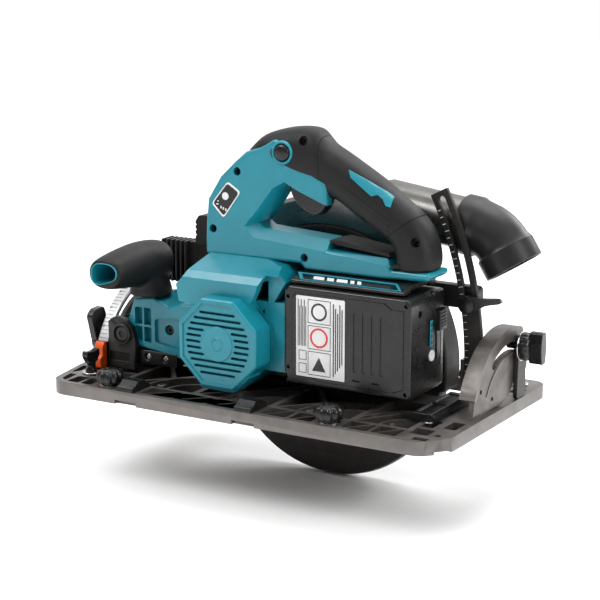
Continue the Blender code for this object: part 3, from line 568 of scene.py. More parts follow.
FRONT_CORNER_POCKETS = [
    [(-214, -58), (-205, -58), (-204, -76), (-209, -84)],
    [(-207, -88), (-199, -88), (-196, -110), (-203, -106)],
    [(-193, -92), (-180, -92), (-180, -112), (-193, -112)],
    [(-177, -92), (-165, -92), (-165, -112), (-177, -112)],
    [(-214, 46), (-205, 46), (-201, 80), (-209, 92)],
]
RAIL_SHOES = (("front", -121), ("rear", 9))


def rib_bay(low, high):
    """What is cut out of one bay: its box without the ribs that stay."""
    y0, y1 = BAY_Y
    corner = (high, y0)
    wide = high - low
    ribs = [
        band(corner, 27, 30, 85, 185, 14), band(corner, 52, 55, 85, 185, 18),
        [(low - 3, y0 - 2), (low + 1, y0 - 2), (high + 2, y1 + 2), (high - 3, y1 + 2)],
    ]
    if wide > 60:
        foot = low + wide * 0.42
        ribs.append([(low - 2, y1 + 1), (foot, y1 - 42), (foot + 2, y1 - 39), (low + 3, y1 + 3)])
    return cut(block((low, y0, BAY_FLOOR), (high, y1, ABOVE)), *[slab("Z", 0, ABOVE, rib) for rib in ribs])


def pocket_tool(corners):
    return slab("Z", POCKET_FLOOR, ABOVE, rounded(corners, 2, 2))


def edge_pocket(low, high):
    """A shallow pocket in the near edge strip, with a slanting rib left in it."""
    y0, y1 = NEAR_STRIP_Y
    slant = slab(
        "Z", 0, ABOVE, [(low + 2, y0 - 1), (low + 5, y0 - 1), (high - 2, y1 + 1), (high - 5, y1 + 1)],
    )
    return cut(pocket_tool([(low, y0), (high, y0), (high, y1), (low, y1)]), slant)


def base_plate():
    plate = slab("Z", 0, BASE_TOP, rounded(BASE_OUTLINE, 9, 4))
    tools = [rib_bay(low, high) for low, high in RIB_BAYS]
    tools.append(block((-128, 20, -5), (152, 88, ABOVE)))
    tools += [block((low, 94, BAY_FLOOR), (high, 111, ABOVE)) for low, high in FAR_STRIP]
    tools.append(block((-240, -106, -5), (240, -90, 2.5)))
    tools += [pocket_tool(corners) for corners in END_POCKETS]
    tools += [edge_pocket(low, high) for low, high in NEAR_STRIP]
    tools += [pocket_tool(corners) for corners in FRONT_CORNER_POCKETS]
    tools += [block((x - 12, -119, -3), (x + 12, -113, 4)) for _, x in RAIL_SHOES]
    tools += [rod((192, -92, -5), (192, -92, ABOVE), 3, sides=20), block((176, -112, 7), (190, -104, ABOVE))]
    plate = cut(plate, *tools)
    return soften(plate, 0.9, 2, 35, lambda edge: max(v.co.z for v in edge.verts) > 4 * MM)


piece("ribbed_base", base_plate(), "base", "cast_base", ["base_plate"])

# %% [markdown]
# Small plated washers sit under the clamp screws and low bosses stand in the bays. They are turned pieces,
# a flat ring with rounded edges, and break up the painted surface as on the real casting.

# %% Washers and bosses on the base
def washer(base, outer, thick, inner=0.0, direction=UP):
    """A ring or, with no inner radius, a disc."""
    edge = min(0.4, thick / 3)
    profile = [(inner, 0), (outer, 0), (outer, thick - edge), (outer - edge, thick), (inner, thick)]
    return turned(base, direction, profile + profile[:1] if inner else profile)


KNOB_Y = -103
RAIL_KNOBS = (("front", -148), ("rear", 91))
FENCE_SCREWS = (("front", -190, -77), ("rear", 184.5, 96))
washers = together(
    *[washer((x, y, 13.1), 9, 1.6) for _, x, y in FENCE_SCREWS], washer((168, -60, 13.1), 5, 1.2),
    washer((172, 30, 13.1), 5.5, 1.4), *[washer((x, KNOB_Y, 13.05), 9.5, 0.9) for _, x in RAIL_KNOBS],
)
piece("plated_washers", washers, "base", "steel", material=PLATED)
BOSS_PLACES = [
    (-172, -58), (-112, -70), (-84, -24), (-30, -72), (-2, -26), (52, -72), (82, -28), (134, -70),
    (146, -26),
]
BOSS_PROFILE = [(0, 0), (5.2, 0), (4.4, 6), (3.6, 6.6), (2.2, 6.6), (2.0, 5.2), (0, 5.2)]
bosses = together(*[turned((x, y, 4.3), UP, BOSS_PROFILE, 20) for x, y in BOSS_PLACES])
piece("base_bosses", bosses, "base", "cast_base")

# %% [markdown]
# Two rail shoes take up play on the guide rail, and each is adjusted by a fluted knob. The knob's flutes
# are made by pushing the side vertices of a turned shape in and out as they go round.

# %% Rail shoes and fluted knobs
def fluted(bm, centre, axis, inner, lobes, depth):
    """Pulls the outer side in between the lobes."""
    axis = Vector(axis).normalized()
    centre = Vector(centre) * MM
    first = axis.orthogonal().normalized()
    second = axis.cross(first)
    for vert in bm.verts:
        arm = vert.co - centre
        arm -= axis * arm.dot(axis)
        if arm.length > inner * MM:
            turn = math.atan2(arm.dot(second), arm.dot(first))
            vert.co -= arm.normalized() * depth * MM * (0.5 - 0.5 * math.cos(lobes * turn)) ** 2
    return bm


def rail_knob(x, y):
    profile = [
        (0, 13.4), (8.2, 13.4), (8.2, 16), (11.6, 16.4), (12.6, 17.4), (13, 20), (12.7, 24), (11.4, 26.6),
        (9, 28), (6.5, 28.4), (6.2, 27.4), (0, 27.2),
    ]
    return fluted(turned((x, y, 0), UP, profile, 80), (x, y, 0), UP, 9.5, 10, 1.7)


for label, x in RAIL_KNOBS:
    node = "rail_knob_" + label
    piece(node + "_cap", rail_knob(x, KNOB_Y), node, "black_plastic", [node], smooth=50)


def rail_shoe(x):
    side = [
        (-118, 13.3), (-88, 13.3), (-90, 17.5), (-95, 18.6), (-97, 22), (-108, 22.4), (-112, 19),
        (-117.4, 17.4),
    ]
    shoe = slab("X", x - 9, x + 9, side)
    shoe = cut(
        shoe,
        *[block((x - 10 + step, -107, 21.2), (x - 8.8 + step, -98, 24)) for step in (5, 8.4, 11.8, 15.2)],
    )
    return soften(shoe, 0.7, 2, 25)


for label, x in RAIL_SHOES:
    piece("rail_shoe_" + label + "_block", rail_shoe(x), "base", "black_plastic", ["rail_shoe_" + label])

cross_bar = slab("Y", -62, 15.5, [(146, 13.3), (146, 17), (152, 21), (170, 21), (174, 18), (174, 13.3)])
cross_bar = soften(
    cut(cross_bar, block((154, -56, 20), (168, -26, 24)), block((154, -22, 20), (168, 8, 24))), 1.0, 3,
)
piece("cross_bar_block", cross_bar, "base", "black_plastic", ["rear_cross_bar"])

# %% [markdown]
# The wing screws that hold a parallel fence have a round post and a flat grip that swells towards its
# tips. The grip is an outline with rounded ends, pushed through and softened.

# %% Fence screws
def wing_screw(x, y):
    post = turned(
        (x, y, 0), UP, [(0, 14.8), (5.6, 14.8), (5.6, 17), (4.4, 19), (4.4, 23), (5.5, 25), (0, 26)], 28,
    )
    grip = rounded(
        [
            (y - 9.5, 37), (y - 10.5, 31), (y - 5, 23), (y + 5, 23), (y + 10.5, 31), (y + 9.5, 37),
            (y + 4, 35), (y - 4, 35),
        ],
        3, 4,
    )
    return together(post, soften(slab("X", x - 3.4, x + 3.4, grip), 1.4, 3))


for label, x, y in FENCE_SCREWS:
    node = "fence_screw_" + label
    piece(node + "_wing", wing_screw(x, y), node, "black_plastic", [node])

# %% [markdown]
# At each end of the base a quadrant carries the tilting frame. The front one is a pressed plate with an
# arc slot and a flange that faces forwards, and the bright scale is bent round that flange. Tick marks
# are thin raised bars placed by turning one bar about the tilt axis.

# %% Front quadrant and scale
TILT = (40.0, 0.0)
BOLT_RADIUS, BOLT_ANGLE = 84.0, 156.0


def turned_about_tilt(bm, angle):
    place = Matrix.Translation(Vector((0, *TILT)) * MM)
    bm.transform(place @ Matrix.Rotation(math.radians(angle), 4, "X") @ place.inverted())
    return bm


front_plate = slab(
    "X", -199, -194,
    [(-50, 13.3), (-50, 27)] + arc(TILT, 95, 163.5, 104, 28) + [(18, 78), (8, 62), (-8, 40), (-12, 13.3)],
)
front_plate = cut(front_plate, slab("X", -210, -180, curved_slot(TILT, BOLT_RADIUS, 4.2, 110, 158.5)))
front_foot = cut(block((-199.4, -49, 13.4), (-189.5, -14, 18)), rod((-194, -40, 10), (-194, -40, 30), 2))
piece(
    "front_quadrant_plate", soften(joined(front_plate, front_foot), 0.6), "base", "dark_casting",
    ["front_quadrant"],
)
scale_band = soften(slab("X", -201, -189.5, band(TILT, 95.3, 98, 104, 157, 40)), 0.5)
piece("bevel_scale_band", scale_band, "base", "scale_steel", ["bevel_scale"])


def tick(angle, end, low, high):
    """A thin bar on the scale's outer face, from its front edge back to an end."""
    face = TILT[0] + 97.6
    return turned_about_tilt(block((-200.4, face, low), (end, face + 0.52, high)), angle)


ticks = [tick(107 + step * 2.4, -192.5 if step % 5 else -189.9, -0.22, 0.22) for step in range(21)]
ticks += [tick(110 + step * 12, -197.5, low, low + 0.4) for step in range(4) for low in (2.4, 3.8)]
piece("scale_ticks", together(*ticks), "base", "label", material=DARK_PRINT)
stop_outline = rounded(
    [(-61.5, 13.4), (-62, 24), (-58, 26), (-58, 34), (-55, 39.6), (-51.2, 38), (-51.2, 13.4)], 2.2, 3,
)
stop = cut(slab("X", -200, -190, stop_outline), rod((-204, -56, 20), (-180, -56, 20), 2.2, sides=20))
piece("bevel_stop_block", soften(stop, 0.8, 3), "base", "orange_plastic", ["bevel_stop"])

# %% [markdown]
# The front bracket and the arm hang between the quadrant and the saw head. The bracket is a dark casting
# with a rounded shoulder and a deep bolt recess, and its lever clamps the tilt with a wide wing.

# %% Front bracket and clamp lever
PIVOT = (-171.0, 49.0)
bolt_y, bolt_z = on_arc(TILT, BOLT_RADIUS, BOLT_ANGLE)


cheek = rounded(
    [(-188.4, 14), (-158, 14), (-156, 40), (-160, 56), (-170, 64), (-180, 66), (-188.4, 60)], 5, 4,
)
bracket = joined(
    block((-188.4, -50, 14), (-182, 26, 60)), slab("Y", -50, -44, cheek), slab("Y", 20, 26, cheek),
    block((-188, -50, 14), (-158, -10, 19)),
)
bracket = cut(bracket, rod_across(PIVOT, -60, 40, 4.6), block((-187, -70, 21), (-163, -48.6, 30)))
pivot_collar = [
    (8.2, -1), (10.4, -1), (10.4, 2.6), (10.4 - 0.8, 3.4), (8.2 + 0.4, 3.4), (8.2, 2.6), (8.2, -1),
]
bracket = together(soften(bracket, 1.1, 3), turned(at_y(PIVOT, -50), NEAR, pivot_collar, 36))
piece("front_bracket_body", bracket, "tilt_frame", "dark_casting", ["front_bracket"])
pivot = together(
    turned(
        at_y(PIVOT, -50.2), NEAR,
        [(0, 0), (7.4, 0), (7.4, 1.2), (6.6, 1.9), (3.2, 1.9), (3.0, 0.9), (0, 0.9)], 32,
    ),
    rod_across(PIVOT, -50, 31, 4),
    turned(at_y(PIVOT, 26.3), FAR, [(0, 0), (7, 0), (7, 3.2), (6.2, 4), (0, 4)], 6),
)
piece("depth_pivot_bolt", pivot, "tilt_frame", "screw_steel", ["depth_pivot_pin"])


def from_bolt(points):
    return [(bolt_y + across, bolt_z + up) for across, up in points]


wing = slab(
    "X", -213.4, -206,
    rounded(from_bolt([(-7, -4), (-16, 28), (-10, 34), (4, 35), (8, 27), (7, -4)]), 3.5, 4),
)
wing_recess = slab("X", -220, -211.6, from_bolt([(-9, 12), (-12, 26), (2, 28), (3, 12)]))
lever = together(
    soften(cut(wing, wing_recess), 1.3, 3),
    turned(
        (-201.6, bolt_y, bolt_z), FRONT,
        [(0, 0), (9, 0), (9.4, 4), (9.2, 9), (8.2, 11.6), (5.6, 12.8), (5.2, 11.6), (0, 11.6)], 40,
    ),
    rod((-203, bolt_y, bolt_z), (-184, bolt_y, bolt_z), 3.5, sides=20),
)
piece("bevel_lever_wing", lever, "bevel_lever", "black_plastic", ["bevel_lever"])
HINGE_SCREW_X = (-146, -126)
HINGE_SCREW = [(0, 0), (2.9, 0), (2.9, 0.8), (2.2, 1.3), (1.2, 1.3), (1.1, 0.4), (0, 0.4)]
screw_holes = [rod_across((x, 27.5), -50, -41, 3.4) for x in HINGE_SCREW_X]
piece(
    "hinge_block", soften(cut(block((-157, -44, 20.5), (-112, -12, 34)), *screw_holes), 1.2, 3), "saw_head",
    "black_plastic",
)
hinge_screws = together(*[turned((x, -41.6, 27.5), NEAR, HINGE_SCREW, 20) for x in HINGE_SCREW_X])
piece("hinge_block_screws", hinge_screws, "saw_head", "steel", material=PLATED)

# %% [markdown]
# The rear quadrant tilts with the head. A curved flange with bright rims stands off a flat plate, whose
# slot runs under the clamp knob. The knob has a light washer, a round grip and a faceted wing.

# %% Rear quadrant, lug and clamp knob
STUD_Y, STUD_Z = TILT[0] + 15.5, 62.1
plate_outline = [(-38, 17), (22, 14), (40, 20), (62, 42), (69, 56)] + arc(TILT, 81, 70, 156, 30)
quadrant = joined(
    slab("X", 194.5, 199.5, plate_outline), slab("X", 184.5, 200.1, band(TILT, 77.4, 82, 72, 158, 40)),
    slab("X", 193.2, 200.1, band(TILT, 56, 58.6, 76, 150, 24)), block((160, 17.3, 28), (196, 25, 52)),
)
quadrant = cut(
    quadrant, slab("X", 170, 210, curved_slot(TILT, 64, 4.2, 74, 123)),
    rod((190, -22, 36), (205, -22, 36), 2.2), rod((190, 2, 24), (205, 2, 24), 2.2),
)
piece("rear_quadrant_plate", soften(quadrant, 0.8, 2), "tilt_frame", "cast_base", ["rear_quadrant"])
lug_side = [(-10, 13.3), (-8, 66), (-5, 71.6), (5, 71.6), (8, 66), (10, 13.3)]
lug = slab("X", 200.3, 204.6, rounded([(STUD_Y + across, up) for across, up in lug_side], 4, 4))
lug = cut(lug, rod((190, STUD_Y, STUD_Z), (210, STUD_Y, STUD_Z), 3.9))
piece("rear_lug_plate", soften(lug, 0.7), "base", "dark_casting", ["rear_lug"])
knob = turned(
    (204.9, STUD_Y, STUD_Z), REAR,
    [(0, 0), (12, 0), (13, 1), (13.2, 4), (12.6, 7.4), (11, 9.4), (7, 10.4), (0, 10.4)], 60,
)
grip_side = [(-15, -4.2), (-15, 4.2), (-4, 6), (4, 6), (15, 4.2), (15, -4.2), (4, -6), (-4, -6)]
grip = rounded([(STUD_Z + up, across) for up, across in grip_side], 2.5, 3)
wing = slab("X", 213, 225.8, [(STUD_Y + across, up) for up, across in grip])
knob = fluted(knob, (0, STUD_Y, STUD_Z), REAR, 9, 12, 0.7)
knob = together(knob, soften(wing, 1.6, 3), rod((190, STUD_Y, STUD_Z), (206, STUD_Y, STUD_Z), 3.5))
piece("rear_knob_grip", knob, "rear_bevel_knob", "black_plastic", ["rear_bevel_knob"])
knob_washer = washer((204.65, STUD_Y, STUD_Z), 14, 0.9, 4, REAR)
piece("rear_knob_washer", knob_washer, "rear_bevel_knob", "steel", material=PLATED)

# %% [markdown]
# A curved guide bar sets the cutting depth: it is an arc about the front pivot with a slot, a printed row
# of marks and a leaf-shaped lever that clamps the head to it.

# %% Depth guide and lever
CLAMP_ANGLE = 9.5
CLAMP_RADIUS = 346
guide = slab("Y", 12, 16.8, band(PIVOT, 337, 355, -3.5, 27, 60))
guide = cut(guide, slab("Y", 5, 25, curved_slot(PIVOT, CLAMP_RADIUS, 3.4, 8.7, 25.7, 30)))
piece("depth_guide_bar", soften(guide, 0.7), "tilt_frame", "dark_casting", ["depth_guide"])
marks = []
for step in range(24):
    start, end = (
        at_y(on_arc(PIVOT, radius, -1 + step * 1.1), 11.9)
        for radius in (338.2, 341.4 if step % 4 else 342.4)
    )
    marks.append(rod(start, end, 0.26, sides=6))
piece("depth_marks", together(*marks), "tilt_frame", "label", material=WHITE_PRINT)
stud_x, stud_z = on_arc(PIVOT, CLAMP_RADIUS, CLAMP_ANGLE)
leaf_points = [(-7, 3), (2, 8), (16, 8), (31, 9), (33, 5), (18, 1), (5, -7), (-6, -5)]
leaf = [tuple(point) for point in fair([(stud_x + x, stud_z + z) for x, z in leaf_points], 5, True)]
lever = together(
    soften(slab("Y", 5.2, 9.8, leaf), 1.4, 3),
    turned((stud_x, 11.6, stud_z), NEAR, [(0, 0), (8.4, 0), (8.4, 5.6), (7.4, 8), (4, 8.8), (0, 8.8)], 40),
    rod_across((stud_x, stud_z), 8, 25.5, 3, 20),
)
piece("depth_lever_leaf", lever, "depth_lever", "black_plastic", ["depth_lever"])

# %% [markdown]
# The motor sits in a faceted teal housing. Its outline is an octagon, a wedge-shaped block above it joins
# the handle, and a sloping cut makes the broad facet on top. Bevels and the finish's painted highlight on
# convex edges give the moulding its bright creases.

# %% Motor housing
MOTOR = (-36.0, 64.0)


def octagon(radius):
    """The motor's outline, flat at the top and the sides."""
    return arc(MOTOR, radius, 22.5, 337.5, 7)


upper = slab(
    "Y", -74, -3.3,
    [(-88, 96), (-91, 112), (-84, 119), (-74, 138), (-12, 138.3), (10, 134), (20, 122), (6, 100), (-8, 92)],
)
slope = slab(
    "X", -120, 60,
    [(-80, 113), (-74.4, 119.5), (-69, 126), (-66, 127.5), (-38, 139), (-38, 160), (-80, 160)],
)
notch = slab("Y", -90, -60, [(2, 128), (30, 128), (30, 84), (-5, 84), (-10, 100), (-4, 112)])
housing = joined(
    slab("Y", -62, -2.3, octagon(46)), cut(upper, slope, notch), block((-2, -60, 38), (20.5, -4.3, 103)),
)
hollow = [
    rod_across(MOTOR, -80, -4.8, 36), rod_across(MOTOR, -20, 10, 30),
    slab("Y", -80, -62.05, octagon(45.3)), block((-78, -66, 103), (2, -10, 122)),
    block((-60, -50, 90), (-20, -20, 110)),
]
housing = soften(cut(housing, *hollow), 1.5, 3, 22)
piece("motor_housing_shell", housing, "saw_head", "teal_plastic", ["motor_housing"], smooth=30)

# %% [markdown]
# The end cap lets cooling air in. A raised frame runs round the octagon, the grille lies a little lower,
# and each of its slots is an outline with round ends. A plain boss marks the bearing.

# %% Motor end cap
def grille_slot(x0, x1, z):
    half = 1.35
    turns = (-1.57, -0.8, 0, 0.8, 1.57)
    ends = [(x1 - half + half * math.cos(turn), z + half * math.sin(turn)) for turn in turns]
    ends += [(x0 + half - half * math.cos(turn), z - half * math.sin(turn)) for turn in turns]
    return slab("Y", -95, -84.2, ends)


cap = soften(slab("Y", -90, -62.3, octagon(45.6)), 2.6, 3)
cap = cut(cap, soften(slab("Y", -92, -88.6, octagon(40.5)), 0.5, 2))
SLOT_ROWS, SLOT_PITCH = 11, 5.7
GRILLE_RADIUS, BLANK_RADIUS = 34.5, 18.5
slots = []
for row in range(SLOT_ROWS):
    rise = (row - (SLOT_ROWS - 1) / 2) * SLOT_PITCH
    reach = math.sqrt(GRILLE_RADIUS ** 2 - rise ** 2)
    if abs(rise) > 16:
        slots.append(grille_slot(MOTOR[0] - reach, MOTOR[0] + reach, MOTOR[1] + rise))
    else:
        blank = math.sqrt(BLANK_RADIUS ** 2 - rise ** 2)
        slots.append(grille_slot(MOTOR[0] - reach, MOTOR[0] - blank, MOTOR[1] + rise))
        slots.append(grille_slot(MOTOR[0] + blank, MOTOR[0] + reach, MOTOR[1] + rise))
cap = cut(cap, rod_across(MOTOR, -84, -50, 36), *slots)
boss = turned(
    at_y(MOTOR, -88.2), NEAR,
    [(0, -1), (6.6, -1), (6.6, 1.2), (6.0, 1.6), (5.2, 1.6), (4.8, 1.1), (0, 1.0)], 40,
)
plain = turned(at_y(MOTOR, -84.4), NEAR, [(0, 0), (16.5, 0), (16.5, 4.4), (16, 4.9), (0, 4.9)], 48)
lip = soften(
    slab(
        "Y", -87, -66,
        [(-68, 36), (-54, 19.5), (-20, 19), (-2, 36), (-6, 39), (-22, 23.6), (-52, 23.6), (-65, 39)],
    ),
    1.4, 3,
)
piece(
    "motor_cap_grille", together(cap, boss, plain, lip), "saw_head", "teal_plastic", ["motor_cap"],
    smooth=30,
)
dark = turned(at_y(MOTOR, -83.6), FAR, [(0, 0), (35.4, 0), (35.4, 1), (0, 1)], 40)
piece("grille_shadow_screen", dark, "saw_head", "black_plastic")

# %% [markdown]
# The arm reaches forwards from the motor to the depth pivot. Its near side has a ribbed pocket and a
# shallow recess with a socket screw, both usual in mouldings, to keep the walls thin and even.

# %% Front arm
arm = slab(
    "Y", -43, 4.6,
    [
        (-160, 37), (-90, 27), (-80, 32), (-80, 84), (-102, 84), (-122, 80), (-140, 87), (-162, 84),
        (-170, 62),
    ],
)
arm = joined(soften(arm, 2.0, 3), rod_across(PIVOT, -43, 4.6, 10.4))
ribs_kept = [block((-165, -60, 57), (-130, -30, 59)), block((-152.5, -60, 30), (-150.5, -30, 90))]
pocket = cut(slab("Y", -60, -36, rounded([(-161, 44), (-142, 41), (-142, 76), (-161, 76)], 2, 3)), *ribs_kept)
recess = slab("Y", -60, -39.6, rounded([(-138, 43), (-108, 38), (-106, 66), (-112, 70), (-138, 66)], 3, 3))
socket = rod_across((-123, 56), -60, -34, 5.2)
arm = cut(arm, rod_across(PIVOT, -60, 30, 4.3), pocket, recess, socket)
piece("front_arm_moulding", soften(arm, 0.5, 2, 50), "saw_head", "teal_plastic", ["front_arm"], smooth=30)


def cap_screw(x, y, z, size):
    """A dark socket screw that faces the near side, its head low in a recess."""
    profile = [(0, -4), (1, -4), (1, 0.6), (0.85, 1), (0.5, 1), (0.45, -0.8), (0, -0.8)]
    return turned((x, y, z), NEAR, [(size * share, height) for share, height in profile], 20)


piece("arm_socket_screw", cap_screw(-123, -36.5, 56, 4.2), "saw_head", "screw_steel", ["arm_screw"])

# %% [markdown]
# The main handle is two teal half-shells with a rear leg and top in soft black overmould. The shells'
# outline is pushed through the handle's thickness. The loop for the hand is cut with a tool that widens
# towards each face, which leaves the broad slanting band round the opening.

# %% Handle shells
SHELL = [
    (-80, 136), (-80, 150), (-79, 171), (-77, 189), (-63, 211), (-47, 226), (-35, 236), (-20, 241),
    (-4, 250), (12, 248),
    (22, 232), (50, 213), (51, 190), (51, 152), (112, 150), (118, 141), (156, 140.8), (154, 134),
    (106, 131.5), (28, 131.5), (24, 137),
]
LOOP = [
    (-2, 201), (6, 209.5), (22, 202.5), (50, 192.5), (130, 190), (130, 152.5), (116, 152.3), (60, 160),
    (-20, 165), (-26, 169), (-16, 180),
]
LOOP_WIDE = [
    (-6, 205), (6, 211.5), (22, 204), (50, 193.5), (134, 190), (134, 143.5), (105, 144), (60, 149),
    (-28, 156), (-38, 166), (-24, 182),
]


def loop_tool(side):
    """The hand opening, which widens towards one face of the handle."""
    tool = slab("Y", -31, -41, LOOP) if side < 0 else slab("Y", -9, 1, LOOP)
    face = side * 41 if side < 0 else 1
    for vert in tool.verts:
        if abs(vert.co.y - face * MM) < 0.1 * MM:
            index = min(
                range(len(LOOP)),
                key=lambda i: (Vector((vert.co.x, vert.co.z)) / MM - Vector(LOOP[i])).length,
            )
            vert.co.x, vert.co.z = LOOP_WIDE[index][0] * MM, LOOP_WIDE[index][1] * MM
    return tool


SHELL_SCREWS = [(-44, 217), (-71, 161), (28, 143)]
shell = soften(slab("Y", -40, 0, SHELL), 4.2, 4)
tools = [
    slab("Y", -60, 20, LOOP), loop_tool(-1), loop_tool(1), block((-1, -29, 190), (52, -11, 232)),
    rod_across((5, 238), -60, 20, 8.5, 40),
]
tools += [rod_across((x, z), -60, -34, 4.0, 24) for x, z in SHELL_SCREWS]
shell = soften(cut(shell, *tools), 0.7, 2, 40)
piece(
    "handle_shells", shell, "saw_head", "teal_plastic",
    ["handle_left_shell", "handle_right_shell", "switch_module"], smooth=34,
)
shell_screws = together(*[cap_screw(x, -35, z, 3.9) for x, z in SHELL_SCREWS])
piece(
    "handle_shell_screws", shell_screws, "saw_head", "screw_steel",
    ["handle_screw_upper", "handle_screw_bar"],
)

# %% [markdown]
# The grip is one continuous soft form, so it is swept: each station is a squarish ring between a point on
# the back of the hand and one on the fingers' side. Thin grooves show where its three mouldings meet.

# %% Soft grip
GRIP_STATIONS = [  # outer x, z, inner x, z, half width
    (-40, 235.5, -27, 228, 7), (-36, 239, -22, 222, 15), (-21, 251.5, -8, 219, 19.2),
    (-1, 258.3, 8, 213, 20.6), (18, 261, 23, 206, 20.8),
    (32, 260, 36, 201, 20.6), (39, 254, 44, 198, 20.2), (46, 247.5, 50, 197, 19.4),
    (59, 240.5, 55, 196.5, 19.2),
    (76, 231, 62, 193, 19), (100, 217, 77, 183, 18.8), (122, 201, 94, 173.5, 19),
    (136, 190.5, 106, 167, 19.6),
    (147, 177, 113.5, 160, 20.2), (153, 162, 116.5, 152, 20.6), (154.5, 150, 117, 145, 20.6),
    (153, 142.5, 117.5, 141.2, 20),
    (150, 140.8, 121, 140.9, 17),
]
HANDLE_Y = -20.0
GRIP_SQUARENESS = 2.7
GRIP_SCREWS = [(26, 250), (141, 168), (89, 187)]


def grip_ring(row, shrink=1.0):
    outer, inner = Vector((row[0], 0, row[1])), Vector((row[2], 0, row[3]))
    centre = (outer + inner) / 2
    centre.y = HANDLE_Y
    return station(centre, (0, row[4] * shrink, 0), (outer - inner) / 2 * shrink)


def grip_form(rows, shrink=1.0):
    return swept([grip_ring(row, shrink) for row in rows], power=GRIP_SQUARENESS, sides=56)


def seam_tool(index):
    """A thin ring that stands a little proud of the grip, to cut a seam with."""
    row, towards = Vector(GRIP_STATIONS[index]), Vector(GRIP_STATIONS[index + 1])
    start, end = row.lerp(towards, 0.1), row.lerp(towards, 0.1 + 0.05)
    core = grip_form((start - (end - start) * 6, end + (end - start) * 6), 0.975)
    return cut(grip_form([start, end], 1.03), core)


grip_rows = fair(GRIP_STATIONS, 5)
grip = grip_form(grip_rows)
seams = [seam_tool(index) for index in (6, 12)]
holes = [rod_across((x, z), -60, -33, 4.4, 24) for x, z in GRIP_SCREWS]
trigger_well = block((-1, -29, 180), (52, -11, 226))
button_bore = turned((5, -60, 238), FAR, [(0, 0), (11.4, 0), (11.4, 28), (8.5, 30), (8.5, 80), (0, 80)], 40)
grip = cut(grip, *seams, *holes, trigger_well, button_bore)
piece("soft_grip", grip, "saw_head", "elastomer", ["handle_grip"], smooth=46)
grip_screws = together(*[cap_screw(x, -33.6, z, 4.2) for x, z in GRIP_SCREWS])
piece("grip_screws", grip_screws, "saw_head", "screw_steel")

pad = slab("Y", -35, -5, [(50, 160), (58, 162), (70, 160.6), (113, 154.4), (114, 151), (60, 157)])
piece("loop_pad", soften(pad, 0.9, 3), "saw_head", "elastomer")
notch_lining = swept(
    [
        station(
            (120 + step * 0.8, HANDLE_Y, 142.6 + step * 1.2), (0, 20.9 - step * 0.2, 0),
            (9 - step * 1.2, 0, 1.2),
        )
        for step in range(4)
    ],
    power=3, sides=40,
)
piece("grip_heel_lining", notch_lining, "saw_head", "elastomer")

# %% [markdown]
# The ridged panel under the palm and the slim teal stripe beside it are inlays. Each is an outline pushed
# through one side of a slightly fuller copy of the grip, so it follows the grip's curve and stands proud.

# %% Grip inlays
def inlay(outline, fuller):
    """The part of a fuller grip that lies behind an outline on the near side."""
    return combine(grip_form(grip_rows, fuller), [slab("Y", -60, -30, outline)], "INTERSECT")


stripe = [
    (72, 227), (93, 217.5), (115, 206), (115, 197), (110.5, 198), (107, 203.5), (102, 207), (96, 205.5),
    (75, 220.5),
]
piece("grip_stripe", inlay(stripe, 1.035), "saw_head", "teal_plastic", smooth=50)
for number, lift in enumerate((0, 5.2, 10.4)):
    ridge = [(66, 213 - lift), (116, 184 - lift), (113, 180.6 - lift), (63, 209.6 - lift)]
    piece(f"grip_ridge_{number}", inlay(ridge, 1.02), "saw_head", "elastomer", smooth=50)

# %% [markdown]
# The trigger, the lock-off button with its teal collar, and the small mode panel are what the hand works.
# The panel's marks are generic: a dial and a few bars.

# %% Trigger, button and mode panel
TRIGGER = [
    (4, 221), (24, 216), (44, 208), (46, 200), (43, 189), (37, 182), (30, 179.5), (22, 182), (12, 190),
    (5, 202),
]
trigger_side = [tuple(point) for point in fair(TRIGGER, 3, True)]
piece(
    "trigger_lever", soften(slab("Y", -28, -12, trigger_side), 3.2, 4, 50), "trigger", "black_plastic",
    ["trigger"],
)
button = turned(
    (5, -20, 238), FAR, [(0, -23.2), (5.4, -23), (7.2, -22.2), (8, -20.8), (8, 18), (7.2, 19), (0, 19)], 48,
)
piece("lock_off_cap", button, "lock_off_button", "black_plastic", ["lock_off_button"])
COLLAR = [(8.5, 0.6), (9.1, 0), (10.4, 0), (11.2, 1.0), (11.3, 12), (8.5, 12), (8.5, 0.6)]
collars = [turned((5, y, 238), direction, COLLAR, 48) for y, direction in ((-41.6, FAR), (1.6, NEAR))]
piece("button_collars", together(*collars), "saw_head", "teal_plastic")
PANEL = [(-54, 207), (-40, 198), (-59, 172), (-72, 185)]


def panel_outline(share, radius):
    middle = sum((Vector(corner) for corner in PANEL), Vector((0, 0))) / 4
    return rounded([middle.lerp(Vector(corner), share) for corner in PANEL], radius, 5)


piece(
    "mode_panel_border", slab("Y", -40.6, -39.4, panel_outline(1.0, 3.4)), "saw_head", "label",
    material=WHITE_PRINT,
)
piece(
    "mode_panel_face", slab("Y", -40.8, -40.0, panel_outline(0.88, 2.6)), "saw_head", "black_plastic",
    ["control_panel"],
)
dial = turned((-56.5, -40.7, 193), NEAR, [(0, 0), (3.6, 0), (3.6, 0.3), (3.2, 0.5), (0, 0.5)], 32)
bars = [
    block((-62 + step * 2.6, -41.0, 181 - step), (-60.6 + step * 2.6, -40.6, 183.4 - step))
    for step in range(3)
]
bars += [
    block((-66.5, -41.0, 184.4), (-64.2, -40.6, 185.4)),
    block((-65.5, -41.0, 187.4), (-63.8, -40.6, 188.2)),
]
piece("mode_panel_dial", together(dial, *bars), "saw_head", "label", material=WHITE_PRINT)

# %% [markdown]
# The front grip is one soft sculpted form whose stem flares down onto the arm. Its parts are joined,
# remeshed evenly and relaxed, so the inner corners fill as they do in a rubber moulding.

# %% Front grip
def leaning(y, x, z, half_x, half_z):
    return station((x, y, z), (half_x, 0, 0), (0, 0, half_z))


